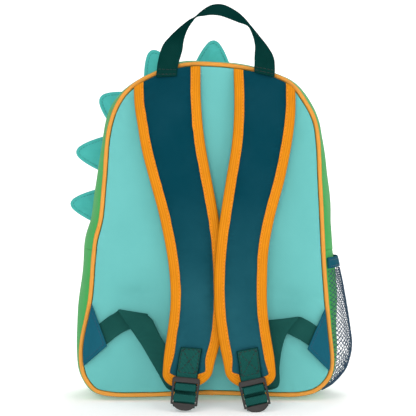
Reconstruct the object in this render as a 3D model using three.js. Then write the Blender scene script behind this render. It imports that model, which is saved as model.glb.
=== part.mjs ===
// A small child's animal backpack, standing on its base and seen from the side that lies on the wearer's back.
// +Z is up, -Y points out of the back panel and +Y out of the front panel. The origin is on the floor, midway
// between the two panels. All sizes are millimetres.
import * as THREE from "three";

// The bag's body
const BAG_WIDTH = 242; // back seam, widest
const BAG_HEIGHT = 319; // back seam, bottom to top
const BAG_DEPTH = 84; // back seam to front seam
const BASE_LIFT = 6; // back seam's lowest point above the floor
const PANEL_WALL = 4; // padded back panel
const PANEL_CROWN = 8; // how far its middle swells out
const FRONT_WALL = 3;
const FRONT_CROWN = 15;
const GUSSET_WALL = 2;
const GUSSET_BULGE = 13; // how far the side wall swells past the seams
const PIPING_DIAMETER = 4.4;
const GAP = 0.3; // clearance between pieces that touch

// The zip, over the top of the side wall
const ZIP_END_HEIGHT = 145; // where the zipped wall is sewn to the lower wall
const ZIP_PLACE = 0.7; // its middle, a share of the way from the back seam to the front seam
const ZIP_TAPE_WIDTH = 17;
const ZIP_TAPE_WALL = 1.2;
const ZIP_CHAIN_WIDTH = 5;
const ZIP_CHAIN_RISE = 1.6;
const SLIDER_LENGTH = 11;
const SLIDER_WIDTH = 8.5;
const SLIDER_HEIGHT = 3.4;
const SLIDER_CLEARANCE = 1.8; // above the curved chain
const PULL_LENGTH = 26;
const PULL_WIDTH = 6;
const PULL_WALL = 1.8;

// The row of back plates, sewn into the front seam
const SPIKE_PITCH = 50;
const SPIKE_BASE = 43;
const SPIKE_HEIGHT = 37;
const SPIKE_THICKNESS = 8; // stuffed middle
const SPIKE_EDGE = 3; // stitched rim
const FIRST_SPIKE_OFFSET = 4; // first plate, right of the middle of the top

// Webbing and buckles
const WEBBING_WIDTH = 20;
const WEBBING_WALL = 1.2;
const HANDLE_SPAN = 93.6; // between the middles of the handle's feet
const HANDLE_RISE = 65; // foot's lower end to the middle of the arch
const HANDLE_OFFSET = 7; // right of the bag's middle
const HANDLE_SEAT = 0.012; // feet's lower ends, a share of the way down the straps
const HANDLE_LAP = { left: 8.5, right: 4 }; // feet's lower ends below the seam
const BUCKLE_WIDTH = 25.4;
const BUCKLE_LENGTH = 30;
const BUCKLE_WALL = 3.6;
const BUCKLE_RAIL = 2.2; // its two sides
const BUCKLE_TILT = { left: -7, right: 14 }; // degrees
const BUCKLE_LAP = { left: 12, right: 10.5 }; // strap's end, below the buckle's top
const PATCH_LENGTH = 27; // stitched patch of webbing above the buckle
const TAIL_LENGTH = 5; // free end of the webbing, below the last bar

// Shoulder straps
const STRAP_WIDTH = 61; // at the top
const STRAP_END_HEIGHT = 19; // lowest point above the floor
const STRAP_END_RISE = 16; // height of the rounded end
const STRAP_REACH = 48; // how far the end stands out from the seam
const STRAP_THICKNESS = 9;
const STRAP_EDGE = 3.4; // foam squeezed inside the binding
const BINDING_WIDTH = 10.2;
const BINDING_WALL = 1;

// Corner tabs and the net pocket
const TAB_WALL = 2.2;
const TAB_CLEARANCE = 1.8; // seam's edge of a tab, in front of the panel
const TAB_RISE = 8.2; // how far its free corner stands out beyond its seam
const POCKET_BULGE = 15;
const POCKET_TOP = 137;
const POCKET_FOOT = 13;
const POCKET_BAND_HEIGHT = 10;
const POCKET_BAND_WALL = 1.6;
const POCKET_NET_WALL = 1.2;
const POCKET_ROWS = 10;
const POCKET_COLUMNS = 7;
const POCKET_HOLE = 0.72; // share of a cell that is open

const HALF_WIDTH = BAG_WIDTH / 2;
const BACK_Y = -BAG_DEPTH / 2;
const FRONT_Y = BAG_DEPTH / 2;
const PIPING_RADIUS = PIPING_DIAMETER / 2;
const SEAM_INSET = PIPING_RADIUS + GAP; // from the seam line to what lies beside the piping

// The back seam, anticlockwise from the middle of the base: x is a share of half the width, z of the height.
const SEAM_TABLE = [
  { x: 0.0, z: 0.006 },
  { x: 0.46, z: 0.001 },
  { x: 0.735, z: 0.0015 },
  { x: 0.858, z: 0.0135 },
  { x: 0.949, z: 0.044 },
  { x: 0.983, z: 0.074 },
  { x: 0.99, z: 0.104 },
  { x: 0.968, z: 0.195 },
  { x: 0.946, z: 0.286 },
  { x: 0.923, z: 0.407 },
  { x: 0.909, z: 0.527 },
  { x: 0.893, z: 0.649 },
  { x: 0.878, z: 0.77 },
  { x: 0.85, z: 0.83 },
  { x: 0.784, z: 0.88 },
  { x: 0.674, z: 0.936 },
  { x: 0.555, z: 0.9615 },
  { x: 0.353, z: 0.984 },
  { x: 0.088, z: 0.998 },
  { x: -0.185, z: 0.9975 },
  { x: -0.422, z: 0.97 },
  { x: -0.614, z: 0.9285 },
  { x: -0.717, z: 0.88 },
  { x: -0.789, z: 0.8 },
  { x: -0.826, z: 0.649 },
  { x: -0.857, z: 0.527 },
  { x: -0.8975, z: 0.467 },
  { x: -0.915, z: 0.407 },
  { x: -0.941, z: 0.286 },
  { x: -1.005, z: 0.165 },
  { x: -1.013, z: 0.12 },
  { x: -1.001, z: 0.074 },
  { x: -0.969, z: 0.044 },
  { x: -0.8975, z: 0.0135 },
  { x: -0.78, z: 0.0015 },
  { x: -0.46, z: 0.0 },
];

// How much of its bulge the side wall has at each height, a share of the bag's height.
const BULGE_TABLE = [
  { z: 0.0, share: 0.62 },
  { z: 0.06, share: 0.64 },
  { z: 0.155, share: 0.74 },
  { z: 0.28, share: 1.12 },
  { z: 0.43, share: 1.06 },
  { z: 0.59, share: 1.02 },
  { z: 0.75, share: 0.7 },
  { z: 0.85, share: 0.65 },
  { z: 1.0, share: 0.55 },
];

// Soft dents in the back panel: place and size are shares of half the width and of the height, depth of the crown.
const DENT_TABLE = [
  { x: -0.55, z: 0.29, radius: 0.085, depth: 0.7 },
  { x: 0.62, z: 0.29, radius: 0.08, depth: 0.55 },
  { x: 0.1, z: 0.62, radius: 0.12, depth: 0.2 },
];

// The carry handle, left foot to right foot. x is a share of the span, z of the rise; lean is the angle of the
// webbing's width in the plane of the panel and turn its angle out of that plane, in degrees. out is a share of how
// far the feet stand off the seam.
const HANDLE_TABLE = [
  { x: -0.5, z: 0.0, lean: 3, turn: 0, out: 1 },
  { x: -0.481, z: 0.218, lean: -7, turn: 0, out: 0.6 },
  { x: -0.44, z: 0.436, lean: -17, turn: 8, out: 0.27 },
  { x: -0.3835, z: 0.607, lean: -30, turn: 46, out: 0.13 },
  { x: -0.3216, z: 0.74, lean: -40, turn: 63, out: 0 },
  { x: -0.2495, z: 0.849, lean: -48, turn: 74, out: 0 },
  { x: -0.198, z: 0.903, lean: -58, turn: 79, out: 0 },
  { x: -0.1258, z: 0.958, lean: -85, turn: 64, out: 0 },
  { x: -0.033, z: 1.0, lean: -92, turn: 51, out: 0 },
  { x: 0.07, z: 0.992, lean: -102, turn: 46, out: 0 },
  { x: 0.173, z: 0.927, lean: -118, turn: 51, out: 0 },
  { x: 0.266, z: 0.844, lean: -128, turn: 61, out: 0 },
  { x: 0.3536, z: 0.748, lean: -137, turn: 76, out: 0 },
  { x: 0.4206, z: 0.6, lean: -158, turn: 68, out: 0 },
  { x: 0.472, z: 0.452, lean: -172, turn: 50, out: 0.13 },
  { x: 0.5, z: 0.296, lean: -181, turn: 21, out: 0.33 },
  { x: 0.505, z: 0.156, lean: -189, turn: 0, out: 0.65 },
  { x: 0.5, z: 0.0, lean: -193, turn: 0, out: 1 },
];

// A shoulder strap from the seam down to its rounded end. down is a share of the drop, centre of half the bag's
// width, width of the strap's width, and out (how far it stands off the seam) of the reach.
const STRAP_TABLES = {
  left: [
    { down: 0.0, centre: -0.322, width: 1.045, out: 0.1 },
    { down: 0.05, centre: -0.324, width: 1.05, out: 0.19 },
    { down: 0.09, centre: -0.314, width: 1.013, out: 0.25 },
    { down: 0.156, centre: -0.297, width: 0.982, out: 0.31 },
    { down: 0.221, centre: -0.276, width: 0.962, out: 0.34 },
    { down: 0.286, centre: -0.242, width: 0.929, out: 0.36 },
    { down: 0.35, centre: -0.207, width: 0.911, out: 0.375 },
    { down: 0.4135, centre: -0.169, width: 0.885, out: 0.385 },
    { down: 0.478, centre: -0.138, width: 0.879, out: 0.395 },
    { down: 0.542, centre: -0.112, width: 0.859, out: 0.41 },
    { down: 0.605, centre: -0.094, width: 0.84, out: 0.425 },
    { down: 0.669, centre: -0.084, width: 0.828, out: 0.45 },
    { down: 0.732, centre: -0.082, width: 0.826, out: 0.485 },
    { down: 0.794, centre: -0.093, width: 0.841, out: 0.54 },
    { down: 0.855, centre: -0.112, width: 0.85, out: 0.64 },
    { down: 0.915, centre: -0.143, width: 0.8, out: 0.79 },
    { down: 0.946, centre: -0.163, width: 0.735, out: 0.865 },
  ],
  right: [
    { down: 0.0, centre: 0.447, width: 0.97, out: 0.1 },
    { down: 0.05, centre: 0.449, width: 0.97, out: 0.19 },
    { down: 0.09, centre: 0.448, width: 0.952, out: 0.26 },
    { down: 0.156, centre: 0.436, width: 0.923, out: 0.34 },
    { down: 0.221, centre: 0.418, width: 0.885, out: 0.4 },
    { down: 0.286, centre: 0.391, width: 0.871, out: 0.46 },
    { down: 0.35, centre: 0.358, width: 0.853, out: 0.51 },
    { down: 0.4135, centre: 0.323, width: 0.813, out: 0.55 },
    { down: 0.478, centre: 0.294, width: 0.798, out: 0.575 },
    { down: 0.542, centre: 0.268, width: 0.79, out: 0.59 },
    { down: 0.605, centre: 0.257, width: 0.8, out: 0.605 },
    { down: 0.669, centre: 0.252, width: 0.81, out: 0.625 },
    { down: 0.732, centre: 0.252, width: 0.806, out: 0.65 },
    { down: 0.794, centre: 0.264, width: 0.814, out: 0.695 },
    { down: 0.855, centre: 0.287, width: 0.81, out: 0.785 },
    { down: 0.915, centre: 0.313, width: 0.8, out: 0.865 },
    { down: 0.946, centre: 0.329, width: 0.75, out: 0.9 },
  ],
};

// The lower webbing, from its corner tab up to a fold and down behind the strap. x is a share of half the bag's
// width, z of its height, out of the strap's reach; lean is the angle of the line across the webbing, in degrees,
// turn its angle out of the panel's plane and spread its length as a share of the webbing's width.
const WEBBING_TABLES = {
  left: [
    { x: -0.885, z: 0.17, lean: 121, spread: 0.72, turn: -13, out: 0.105 },
    { x: -0.85, z: 0.18, lean: 122, spread: 1.0, turn: -13, out: 0.14 },
    { x: -0.74, z: 0.213, lean: 130, spread: 1.0, turn: -7, out: 0.22 },
    { x: -0.64, z: 0.231, lean: 152, spread: 1.15, turn: 0, out: 0.25 },
    { x: -0.595, z: 0.247, lean: 169, spread: 1.38, turn: 0, out: 0.26 },
    { x: -0.585, z: 0.2535, lean: 171, spread: 1.42, turn: 0, out: 0.293 },
    { x: -0.588, z: 0.247, lean: 173, spread: 1.4, turn: 0, out: 0.326 },
    { x: -0.53, z: 0.219, lean: 192, spread: 1.12, turn: 0, out: 0.345 },
    { x: -0.455, z: 0.176, lean: 206, spread: 1.0, turn: 0, out: 0.38 },
    { x: -0.335, z: 0.102, lean: 208, spread: 1.0, turn: 0, out: 0.47 },
    { x: -0.25, z: 0.052, lean: 200, spread: 1.0, turn: 0, out: 0.57 },
  ],
  right: [
    { x: 0.88, z: 0.165, lean: 59, spread: 0.72, turn: -14, out: 0.1 },
    { x: 0.845, z: 0.175, lean: 58, spread: 0.96, turn: -15, out: 0.132 },
    { x: 0.77, z: 0.196, lean: 54, spread: 1.0, turn: -7, out: 0.24 },
    { x: 0.665, z: 0.217, lean: 30, spread: 1.2, turn: 0, out: 0.28 },
    { x: 0.605, z: 0.227, lean: 12, spread: 1.42, turn: 0, out: 0.29 },
    { x: 0.592, z: 0.2325, lean: 7, spread: 1.45, turn: 0, out: 0.323 },
    { x: 0.588, z: 0.226, lean: 5, spread: 1.4, turn: 0, out: 0.356 },
    { x: 0.53, z: 0.193, lean: 0, spread: 1.1, turn: 0, out: 0.385 },
    { x: 0.498, z: 0.153, lean: -4, spread: 1.0, turn: 0, out: 0.43 },
    { x: 0.475, z: 0.1, lean: -5, spread: 1.0, turn: 0, out: 0.51 },
    { x: 0.46, z: 0.055, lean: -2, spread: 1.0, turn: 0, out: 0.6 },
  ],
};

// Corner tabs: the heights of their two ends on the seam and the free corner, as shares of the bag's size.
const TAB_TABLE = {
  left: { side: -1, upper: 0.278, lower: 0.087, cornerX: -0.795, cornerZ: 0.152 },
  right: { side: 1, upper: 0.264, lower: 0.072, cornerX: 0.782, cornerZ: 0.143 },
};

// How far the net stands off the side wall from its foot (0) to its mouth (1), as a share of the bulge.
const POCKET_TABLE = [
  { up: 0.0, share: 0.0 },
  { up: 0.1, share: 0.37 },
  { up: 0.18, share: 0.73 },
  { up: 0.3, share: 1.0 },
  { up: 0.41, share: 0.93 },
  { up: 0.66, share: 0.53 },
  { up: 0.88, share: 0.31 },
  { up: 1.0, share: 0.17 },
];

const vec = (x, y, z) => new THREE.Vector3(x, y, z);
const radians = THREE.MathUtils.degToRad;
const smooth = (x, low, high) => THREE.MathUtils.smoothstep(x, low, high);

// The value of a table's column at a place in its key column, along a smooth curve through the rows.
function lookUp(table, key, column, at) {
  const last = table.length - 1;
  let i = 0;
  while (i < last - 1 && at > table[i + 1][key]) i += 1;
  const row = (k) => table[Math.min(Math.max(k, 0), last)];
  const [a, b] = [row(i), row(i + 1)];
  const t = THREE.MathUtils.clamp((at - a[key]) / (b[key] - a[key]), 0, 1);
  const slope = (k) => {
    const [p, q] = [row(k - 1), row(k + 1)];
    return (q[column] - p[column]) / (q[key] - p[key]);
  };
  const step = b[key] - a[key];
  const [m0, m1] = [slope(i) * step, slope(i + 1) * step];
  const [t2, t3] = [t * t, t * t * t];
  return (
    (2 * t3 - 3 * t2 + 1) * a[column] +
    (t3 - 2 * t2 + t) * m0 +
    (3 * t2 - 2 * t3) * b[column] +
    (t3 - t2) * m1
  );
}

// A geometry from triangles of points, turned to face outwards.
function solidFrom(triangles) {
  let volume = 0;
  for (const [a, b, c] of triangles) volume += a.dot(b.clone().cross(c));
  const numbers = [];
  for (const [a, b, c] of triangles) {
    for (const p of volume < 0 ? [a, c, b] : [a, b, c]) numbers.push(p.x, p.y, p.z);
  }
  const geometry = new THREE.BufferGeometry();
  geometry.setAttribute("position", new THREE.Float32BufferAttribute(numbers, 3));
  geometry.computeVertexNormals();
  return geometry;
}

// The triangles that close a flat ring.
function capOf(ring, reversed) {
  const normal = vec(0, 0, 0);
  ring.forEach((p, i) => normal.add(p.clone().cross(ring[(i + 1) % ring.length])));
  const across = ring[1].clone().sub(ring[0]).normalize();
  const up = normal.normalize().clone().cross(across).normalize();
  const flat = ring.map((p) => {
    const d = p.clone().sub(ring[0]);
    return new THREE.Vector2(d.dot(across), d.dot(up));
  });
  const faces = THREE.ShapeUtils.triangulateShape(flat, []);
  return faces.map(([a, b, c]) =>
    reversed ? [ring[a], ring[c], ring[b]] : [ring[a], ring[b], ring[c]],
  );
}

// A solid through a row of rings with as many points each; a closed one joins its last ring to its first.
function loft(rings, closed = false) {
  const triangles = [];
  const spans = closed ? rings.length : rings.length - 1;
  for (let i = 0; i < spans; i++) {
    const [a, b] = [rings[i], rings[(i + 1) % rings.length]];
    for (let k = 0; k < a.length; k++) {
      const n = (k + 1) % a.length;
      triangles.push([a[k], a[n], b[n]], [a[k], b[n], b[k]]);
    }
  }
  if (!closed) {
    triangles.push(...capOf(rings[0], true), ...capOf(rings[rings.length - 1], false));
  }
  return solidFrom(triangles);
}

// The seam, as a closed curve in the plane of the panel: x and z in place, y zero.
const seamCurve = new THREE.CatmullRomCurve3(
  SEAM_TABLE.map((row) => vec(row.x * HALF_WIDTH, 0, BASE_LIFT + row.z * BAG_HEIGHT)),
  true,
  "centripetal",
);
seamCurve.arcLengthDivisions = 800;
const SEAM_LENGTH = seamCurve.getLength();
const wrap = (u) => ((u % 1) + 1) % 1;
const seamPoint = (u) => seamCurve.getPointAt(wrap(u));

// The outward direction square to the seam.
function seamOutward(u) {
  const along = seamCurve.getTangentAt(wrap(u));
  return vec(along.z, 0, -along.x).normalize();
}

const TOP_SHARE = 0.5; // about where the seam crosses the middle of the top
const SEARCH_STEPS = 400;

// The place on the seam, between two others, where a measure of the point comes nearest to a value.
function findSeam(from, to, measure, value) {
  let best = from;
  let miss = Infinity;
  for (let i = 0; i <= SEARCH_STEPS; i++) {
    const u = from + ((to - from) * i) / SEARCH_STEPS;
    const d = Math.abs(measure(seamPoint(u)) - value);
    if (d < miss) [best, miss] = [u, d];
  }
  return best;
}
const rightAtHeight = (z) => findSeam(0.08, TOP_SHARE - 0.06, (p) => p.z, z);
const leftAtHeight = (z) => findSeam(TOP_SHARE + 0.06, 0.92, (p) => p.z, z);
const topAt = (x) => findSeam(TOP_SHARE - 0.2, TOP_SHARE + 0.2, (p) => p.x, x);

// A point of the side wall: u runs along the seam, v from the back seam (0) to the front seam (1).
function wallPoint(u, v, lift) {
  const p = seamPoint(u);
  const height = (p.z - BASE_LIFT) / BAG_HEIGHT;
  const swell = GUSSET_BULGE * lookUp(BULGE_TABLE, "z", "share", height);
  const out = swell * Math.sin(Math.PI * v) ** 0.6 + lift;
  p.addScaledVector(seamOutward(u), out);
  p.z = Math.max(p.z, lift < 0 ? -lift : 0);
  p.y = BACK_Y + SEAM_INSET + v * (BAG_DEPTH - SEAM_INSET);
  return p;
}

// A strip of the side wall between two places on the seam and two places across it.
function wallStrip(u0, u1, v0, v1, steps, columns, inner, outer) {
  const rings = [];
  for (let i = 0; i <= steps; i++) {
    const u = u0 + ((u1 - u0) * i) / steps;
    const across = (k) => v0 + ((v1 - v0) * k) / columns;
    const ring = [];
    for (let k = 0; k <= columns; k++) ring.push(wallPoint(u, across(k), outer(k / columns)));
    for (let k = columns; k >= 0; k--) ring.push(wallPoint(u, across(k), inner));
    rings.push(ring);
  }
  return loft(rings);
}

// A padded sheet in a closed outline: front and back give y from the share of the way out to the rim.
function cushion(rim, centre, shares, frontY, backY) {
  const place = (s, p, y) => {
    const q = centre.clone().lerp(p, s);
    q.y = y(s, q);
    return q;
  };
  const side = (y) => shares.map((s) => rim.map((p) => place(s, p, y)));
  const [front, back] = [side(frontY), side(backY)];
  const heart = (y) => vec(centre.x, y(0, centre), centre.z);
  const triangles = [];
  const count = rim.length;
  const quad = (a, b, c, d) => triangles.push([a, b, c], [a, c, d]);
  for (let k = 0; k < count; k++) {
    const n = (k + 1) % count;
    triangles.push([heart(frontY), front[0][k], front[0][n]]);
    triangles.push([heart(backY), back[0][n], back[0][k]]);
    for (let j = 0; j + 1 < shares.length; j++) {
      quad(front[j][k], front[j + 1][k], front[j + 1][n], front[j][n]);
      quad(back[j][k], back[j][n], back[j + 1][n], back[j + 1][k]);
    }
    const last = shares.length - 1;
    quad(front[last][k], back[last][k], back[last][n], front[last][n]);
  }
  return solidFrom(triangles);
}

// The seam as a ring of points, moved in or out.
function seamRing(count, outward) {
  const ring = [];
  for (let i = 0; i < count; i++) {
    ring.push(seamPoint(i / count).addScaledVector(seamOutward(i / count), outward));
  }
  return ring;
}

const HEART = vec(0, 0, BASE_LIFT + BAG_HEIGHT * 0.48);
const PANEL_RIM = 1.5; // the panel's face at its rim, in front of the seam
const PANEL_SHARES = [0.3, 0.55, 0.75, 0.88, 1];

function dentAt(p) {
  let sum = 0;
  for (const dent of DENT_TABLE) {
    const dx = p.x - dent.x * HALF_WIDTH;
    const dz = p.z - (BASE_LIFT + dent.z * BAG_HEIGHT);
    const r = dent.radius * BAG_HEIGHT;
    sum += dent.depth * Math.exp(-(dx * dx + dz * dz) / (r * r));
  }
  return sum;
}

function backPanel() {
  const face = (s, p) =>
    BACK_Y - PANEL_RIM - PANEL_CROWN * (1 - s ** 2.6) * (1 - dentAt(p));
  return cushion(
    seamRing(52, -SEAM_INSET - GAP),
    HEART,
    PANEL_SHARES,
    face,
    (s, p) => face(s, p) + PANEL_WALL,
  );
}

function frontPanel() {
  const face = (s) => FRONT_Y + GAP + FRONT_CROWN * (1 - s ** 3);
  return cushion(seamRing(48, -GAP), HEART, PANEL_SHARES, (s) => face(s) + FRONT_WALL, face);
}

function piping() {
  const steps = 88;
  const sides = 6;
  const rings = [];
  for (let i = 0; i < steps; i++) {
    const middle = seamPoint(i / steps);
    const out = seamOutward(i / steps);
    const ring = [];
    for (let k = 0; k < sides; k++) {
      const a = (2 * Math.PI * k) / sides;
      const p = middle.clone().addScaledVector(out, PIPING_RADIUS * Math.cos(a));
      p.y = BACK_Y + PIPING_RADIUS * Math.sin(a);
      ring.push(p);
    }
    rings.push(ring);
  }
  return loft(rings, true);
}

// Where the lower side wall meets the zipped one, on either side.
const zipRight = rightAtHeight(ZIP_END_HEIGHT);
const zipLeft = leftAtHeight(ZIP_END_HEIGHT);
const SEAM_SLOT = GAP / 2 / SEAM_LENGTH;
const WALL_SPAN = BAG_DEPTH - SEAM_INSET;
const zipBack = ZIP_PLACE - ZIP_TAPE_WIDTH / 2 / WALL_SPAN;
const zipFront = ZIP_PLACE + ZIP_TAPE_WIDTH / 2 / WALL_SPAN;
const gapShare = GAP / WALL_SPAN;

const flush = () => 0;
const lowerWall = () =>
  wallStrip(zipLeft + SEAM_SLOT, zipRight + 1 - SEAM_SLOT, 0, 1, 32, 7, -GUSSET_WALL, flush);
const upperWall = (v0, v1) =>
  wallStrip(zipRight + SEAM_SLOT, zipLeft - SEAM_SLOT, v0, v1, 32, 3, -GUSSET_WALL, flush);

function zipper() {
  const columns = 5;
  const chain = ZIP_CHAIN_WIDTH / ZIP_TAPE_WIDTH / 2;
  const rise = (share) => (Math.abs(share - 0.5) < chain ? ZIP_CHAIN_RISE : 0) - GUSSET_WALL / 2;
  return wallStrip(
    zipRight + SEAM_SLOT,
    zipLeft - SEAM_SLOT,
    zipBack + gapShare,
    zipFront - gapShare,
    32,
    columns,
    -GUSSET_WALL / 2 - ZIP_TAPE_WALL,
    rise,
  );
}

// A box with its middle at a point, along three directions.
function block(middle, along, across, up, length, width, height, taper = 1) {
  const ring = (s, w) =>
    [
      [-1, -1],
      [1, -1],
      [1, 1],
      [-1, 1],
    ].map(([a, b]) =>
      middle
        .clone()
        .addScaledVector(along, (s * length) / 2)
        .addScaledVector(across, (a * w) / 2)
        .addScaledVector(up, (b * height) / 2),
    );
  return [ring(-1, width), ring(-0.2, width), ring(1, width * taper)];
}

// The slider on the zip's chain with its pull lying along the zip, one plain piece.
function zipPull() {
  const u = zipLeft - (SLIDER_LENGTH + PULL_LENGTH) / SEAM_LENGTH;
  const up = seamOutward(u);
  const along = seamCurve.getTangentAt(wrap(u));
  const across = vec(0, 1, 0);
  const chainTop = ZIP_CHAIN_RISE - GUSSET_WALL / 2 + SLIDER_CLEARANCE;
  const seat = wallPoint(u, ZIP_PLACE, chainTop + SLIDER_HEIGHT / 2);
  const slider = block(seat, along, across, up, SLIDER_LENGTH, SLIDER_WIDTH, SLIDER_HEIGHT, 0.7);
  const pullMiddle = seat.clone().addScaledVector(along, (SLIDER_LENGTH + PULL_LENGTH) / 2);
  pullMiddle.addScaledVector(up, SLIDER_HEIGHT / 2 - PULL_WALL / 2);
  const pull = block(pullMiddle, along, across, up, PULL_LENGTH, PULL_WIDTH, PULL_WALL, 1.3);
  return loft([...slider, ...pull]);
}

// One plate of the row: a rounded triangle that stands on the front seam, stuffed in the middle.
const SPIKE_SHAPE = [
  { along: 0.5, up: 0.0 },
  { along: 0.45, up: 0.14 },
  { along: 0.37, up: 0.38 },
  { along: 0.275, up: 0.62 },
  { along: 0.175, up: 0.84 },
  { along: 0.095, up: 0.96 },
  { along: 0.0, up: 1.0 },
  { along: -0.095, up: 0.96 },
  { along: -0.175, up: 0.84 },
  { along: -0.275, up: 0.62 },
  { along: -0.37, up: 0.38 },
  { along: -0.45, up: 0.14 },
  { along: -0.5, up: 0.0 },
];

// The plates from the top down the left side: place in pitches, height a share, lean the tip's shift in heights.
const SPIKE_TABLE = [
  { place: 0, height: 1, lean: 0 },
  { place: 1.02, height: 0.98, lean: 0 },
  { place: 2.06, height: 0.82, lean: 0 },
  { place: 3.0, height: 1.09, lean: 0 },
  { place: 4.1, height: 1.14, lean: 0 },
];
const SPIKE_FOOT_STEPS = 6;

function spike(row) {
  const middle = topAt(FIRST_SPIKE_OFFSET) + (row.place * SPIKE_PITCH) / SEAM_LENGTH;
  const seat = seamPoint(middle);
  const out = seamOutward(middle);
  const along = seamCurve.getTangentAt(wrap(middle));
  const half = SPIKE_BASE / 2 / SEAM_LENGTH;
  const height = SPIKE_HEIGHT * row.height;
  const foot = (t) => {
    const u = middle + t * half;
    return seamPoint(u).addScaledVector(seamOutward(u), GAP);
  };
  const rim = [];
  for (const { along: side, up } of SPIKE_SHAPE) {
    const shift = side * SPIKE_BASE + row.lean * up * up * height;
    const free = seat.clone().addScaledVector(along, shift).addScaledVector(out, up * height);
    rim.push(foot(Math.sign(side)).lerp(free, side === 0 ? 1 : smooth(up, 0, 0.5)));
  }
  for (let i = 1; i < SPIKE_FOOT_STEPS; i++) rim.push(foot(-1 + (2 * i) / SPIKE_FOOT_STEPS));
  const heart = seat.clone().addScaledVector(out, height * 0.36);
  const stuffing = (SPIKE_THICKNESS - SPIKE_EDGE) / 2;
  const halfWall = (s) => SPIKE_EDGE / 2 + stuffing * (1 - smooth(s, 0.35, 0.86));
  const middleY = FRONT_Y + GAP + SPIKE_EDGE / 2;
  const face = (sign) => (s) => middleY + sign * halfWall(s);
  return cushion(rim, heart, [0.4, 0.86, 1], face(-1), face(1));
}

// Stations of a band (a middle, and half the line across it), smoothed into more of them.
function soften(stations, samples) {
  const curve = (name) => {
    const points = stations.map((station) => station[name]);
    return new THREE.CatmullRomCurve3(points, false, "catmullrom", 0.5);
  };
  const [middles, halves] = [curve("middle"), curve("half")];
  const softened = [];
  for (let i = 0; i <= samples; i++) {
    softened.push({ middle: middles.getPoint(i / samples), half: halves.getPoint(i / samples) });
  }
  return softened;
}

// A flat band of cloth along stations, mitred where it bends.
function band(stations, wall) {
  const last = stations.length - 1;
  const heading = (i) => stations[i + 1].middle.clone().sub(stations[i].middle).normalize();
  const rings = stations.map(({ middle, half }, i) => {
    const before = heading(Math.max(i - 1, 0));
    const after = heading(Math.min(i, last - 1));
    const along = before.clone().add(after).normalize();
    const mitre = Math.min(1 / Math.max(along.dot(after), 0.5), 1.5);
    const up = along.cross(half).normalize().multiplyScalar((wall / 2) * mitre);
    const at = (a, b) => middle.clone().addScaledVector(half, a).addScaledVector(up, b);
    return [at(-1, -1), at(1, -1), at(1, 1), at(-1, 1)];
  });
  return loft(rings);
}

function halfAcross(lean, turn, length) {
  const [a, t] = [radians(lean), radians(turn)];
  return vec(Math.cos(a) * Math.cos(t), -Math.sin(t), Math.sin(a) * Math.cos(t)).multiplyScalar(length / 2);
}

// How far the feet stand off the seam, as they lie on the straps' pressed tops.
function handleFootOut() {
  const strap = straps.left;
  const face =
    strap.column("out", HANDLE_SEAT) * STRAP_REACH + (STRAP_THICKNESS / 2) * strap.puff(HANDLE_SEAT);
  return face + GAP + WEBBING_WALL / 2;
}

function carryHandle() {
  const footOut = handleFootOut();
  const footZ = (x, lap) => seamPoint(topAt(x)).z - lap;
  const leftZ = footZ(HANDLE_OFFSET - HANDLE_SPAN / 2, HANDLE_LAP.left);
  const rightZ = footZ(HANDLE_OFFSET + HANDLE_SPAN / 2, HANDLE_LAP.right);
  const stations = HANDLE_TABLE.map((row) => ({
    middle: vec(
      HANDLE_OFFSET + row.x * HANDLE_SPAN,
      BACK_Y - row.out * footOut,
      leftZ + (rightZ - leftZ) * (row.x + 0.5) + row.z * HANDLE_RISE,
    ),
    half: halfAcross(row.lean, row.turn, WEBBING_WIDTH),
  }));
  return band(soften(stations, 40), WEBBING_WALL);
}

// The middle surface of a strap, as the left and right edge at a share of the way down.
class Strap {
  constructor(side) {
    this.table = STRAP_TABLES[side];
    this.last = this.table[this.table.length - 1].down;
    const top = (x) => seamPoint(topAt(x)).z - SEAM_INSET - GAP;
    const row = this.table[0];
    const half = (row.width * STRAP_WIDTH) / 2;
    this.topLeft = top(row.centre * HALF_WIDTH - half);
    this.topRight = top(row.centre * HALF_WIDTH + half);
  }
  column(name, down) {
    return lookUp(this.table, "down", name, down);
  }
  edge(down, side) {
    const half = (this.column("width", down) * STRAP_WIDTH) / 2;
    const top = side < 0 ? this.topLeft : this.topRight;
    const z = top - down * (top - STRAP_END_HEIGHT);
    return vec(
      this.column("centre", down) * HALF_WIDTH + side * half,
      BACK_Y - this.column("out", down) * STRAP_REACH,
      z,
    );
  }
  centre(down) {
    return this.edge(down, -1).lerp(this.edge(down, 1), 0.5);
  }
  // The share of the way down that lies a distance up the strap from where its rounded end begins.
  downAt(distance) {
    const step = 0.002;
    let down = this.last;
    let left = distance;
    while (left > 0) {
      left -= this.centre(down).distanceTo(this.centre(down - step));
      down -= step;
    }
    return down;
  }
  // The direction down the strap, the one across it and the one out of its face.
  frame(down) {
    const step = 0.004;
    const low = Math.min(down, this.last - step);
    const along = this.centre(low + step).sub(this.centre(low)).normalize();
    const across = this.edge(low, 1).sub(this.edge(low, -1)).normalize();
    const out = across.clone().cross(along).normalize();
    if (out.y > 0) out.negate();
    return { along, across, out };
  }
  // How thick the strap is here, as a share: it is pressed flat at the seam and thinner at its end.
  puff(down) {
    return Math.min(0.5 + 0.5 * smooth(down, 0, 0.09), 0.68 + 0.32 * smooth(1 - down, 0.03, 0.2));
  }
}

const straps = { left: new Strap("left"), right: new Strap("right") };
const STRAP_STEPS = 22;
const END_STEPS = 10;

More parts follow.
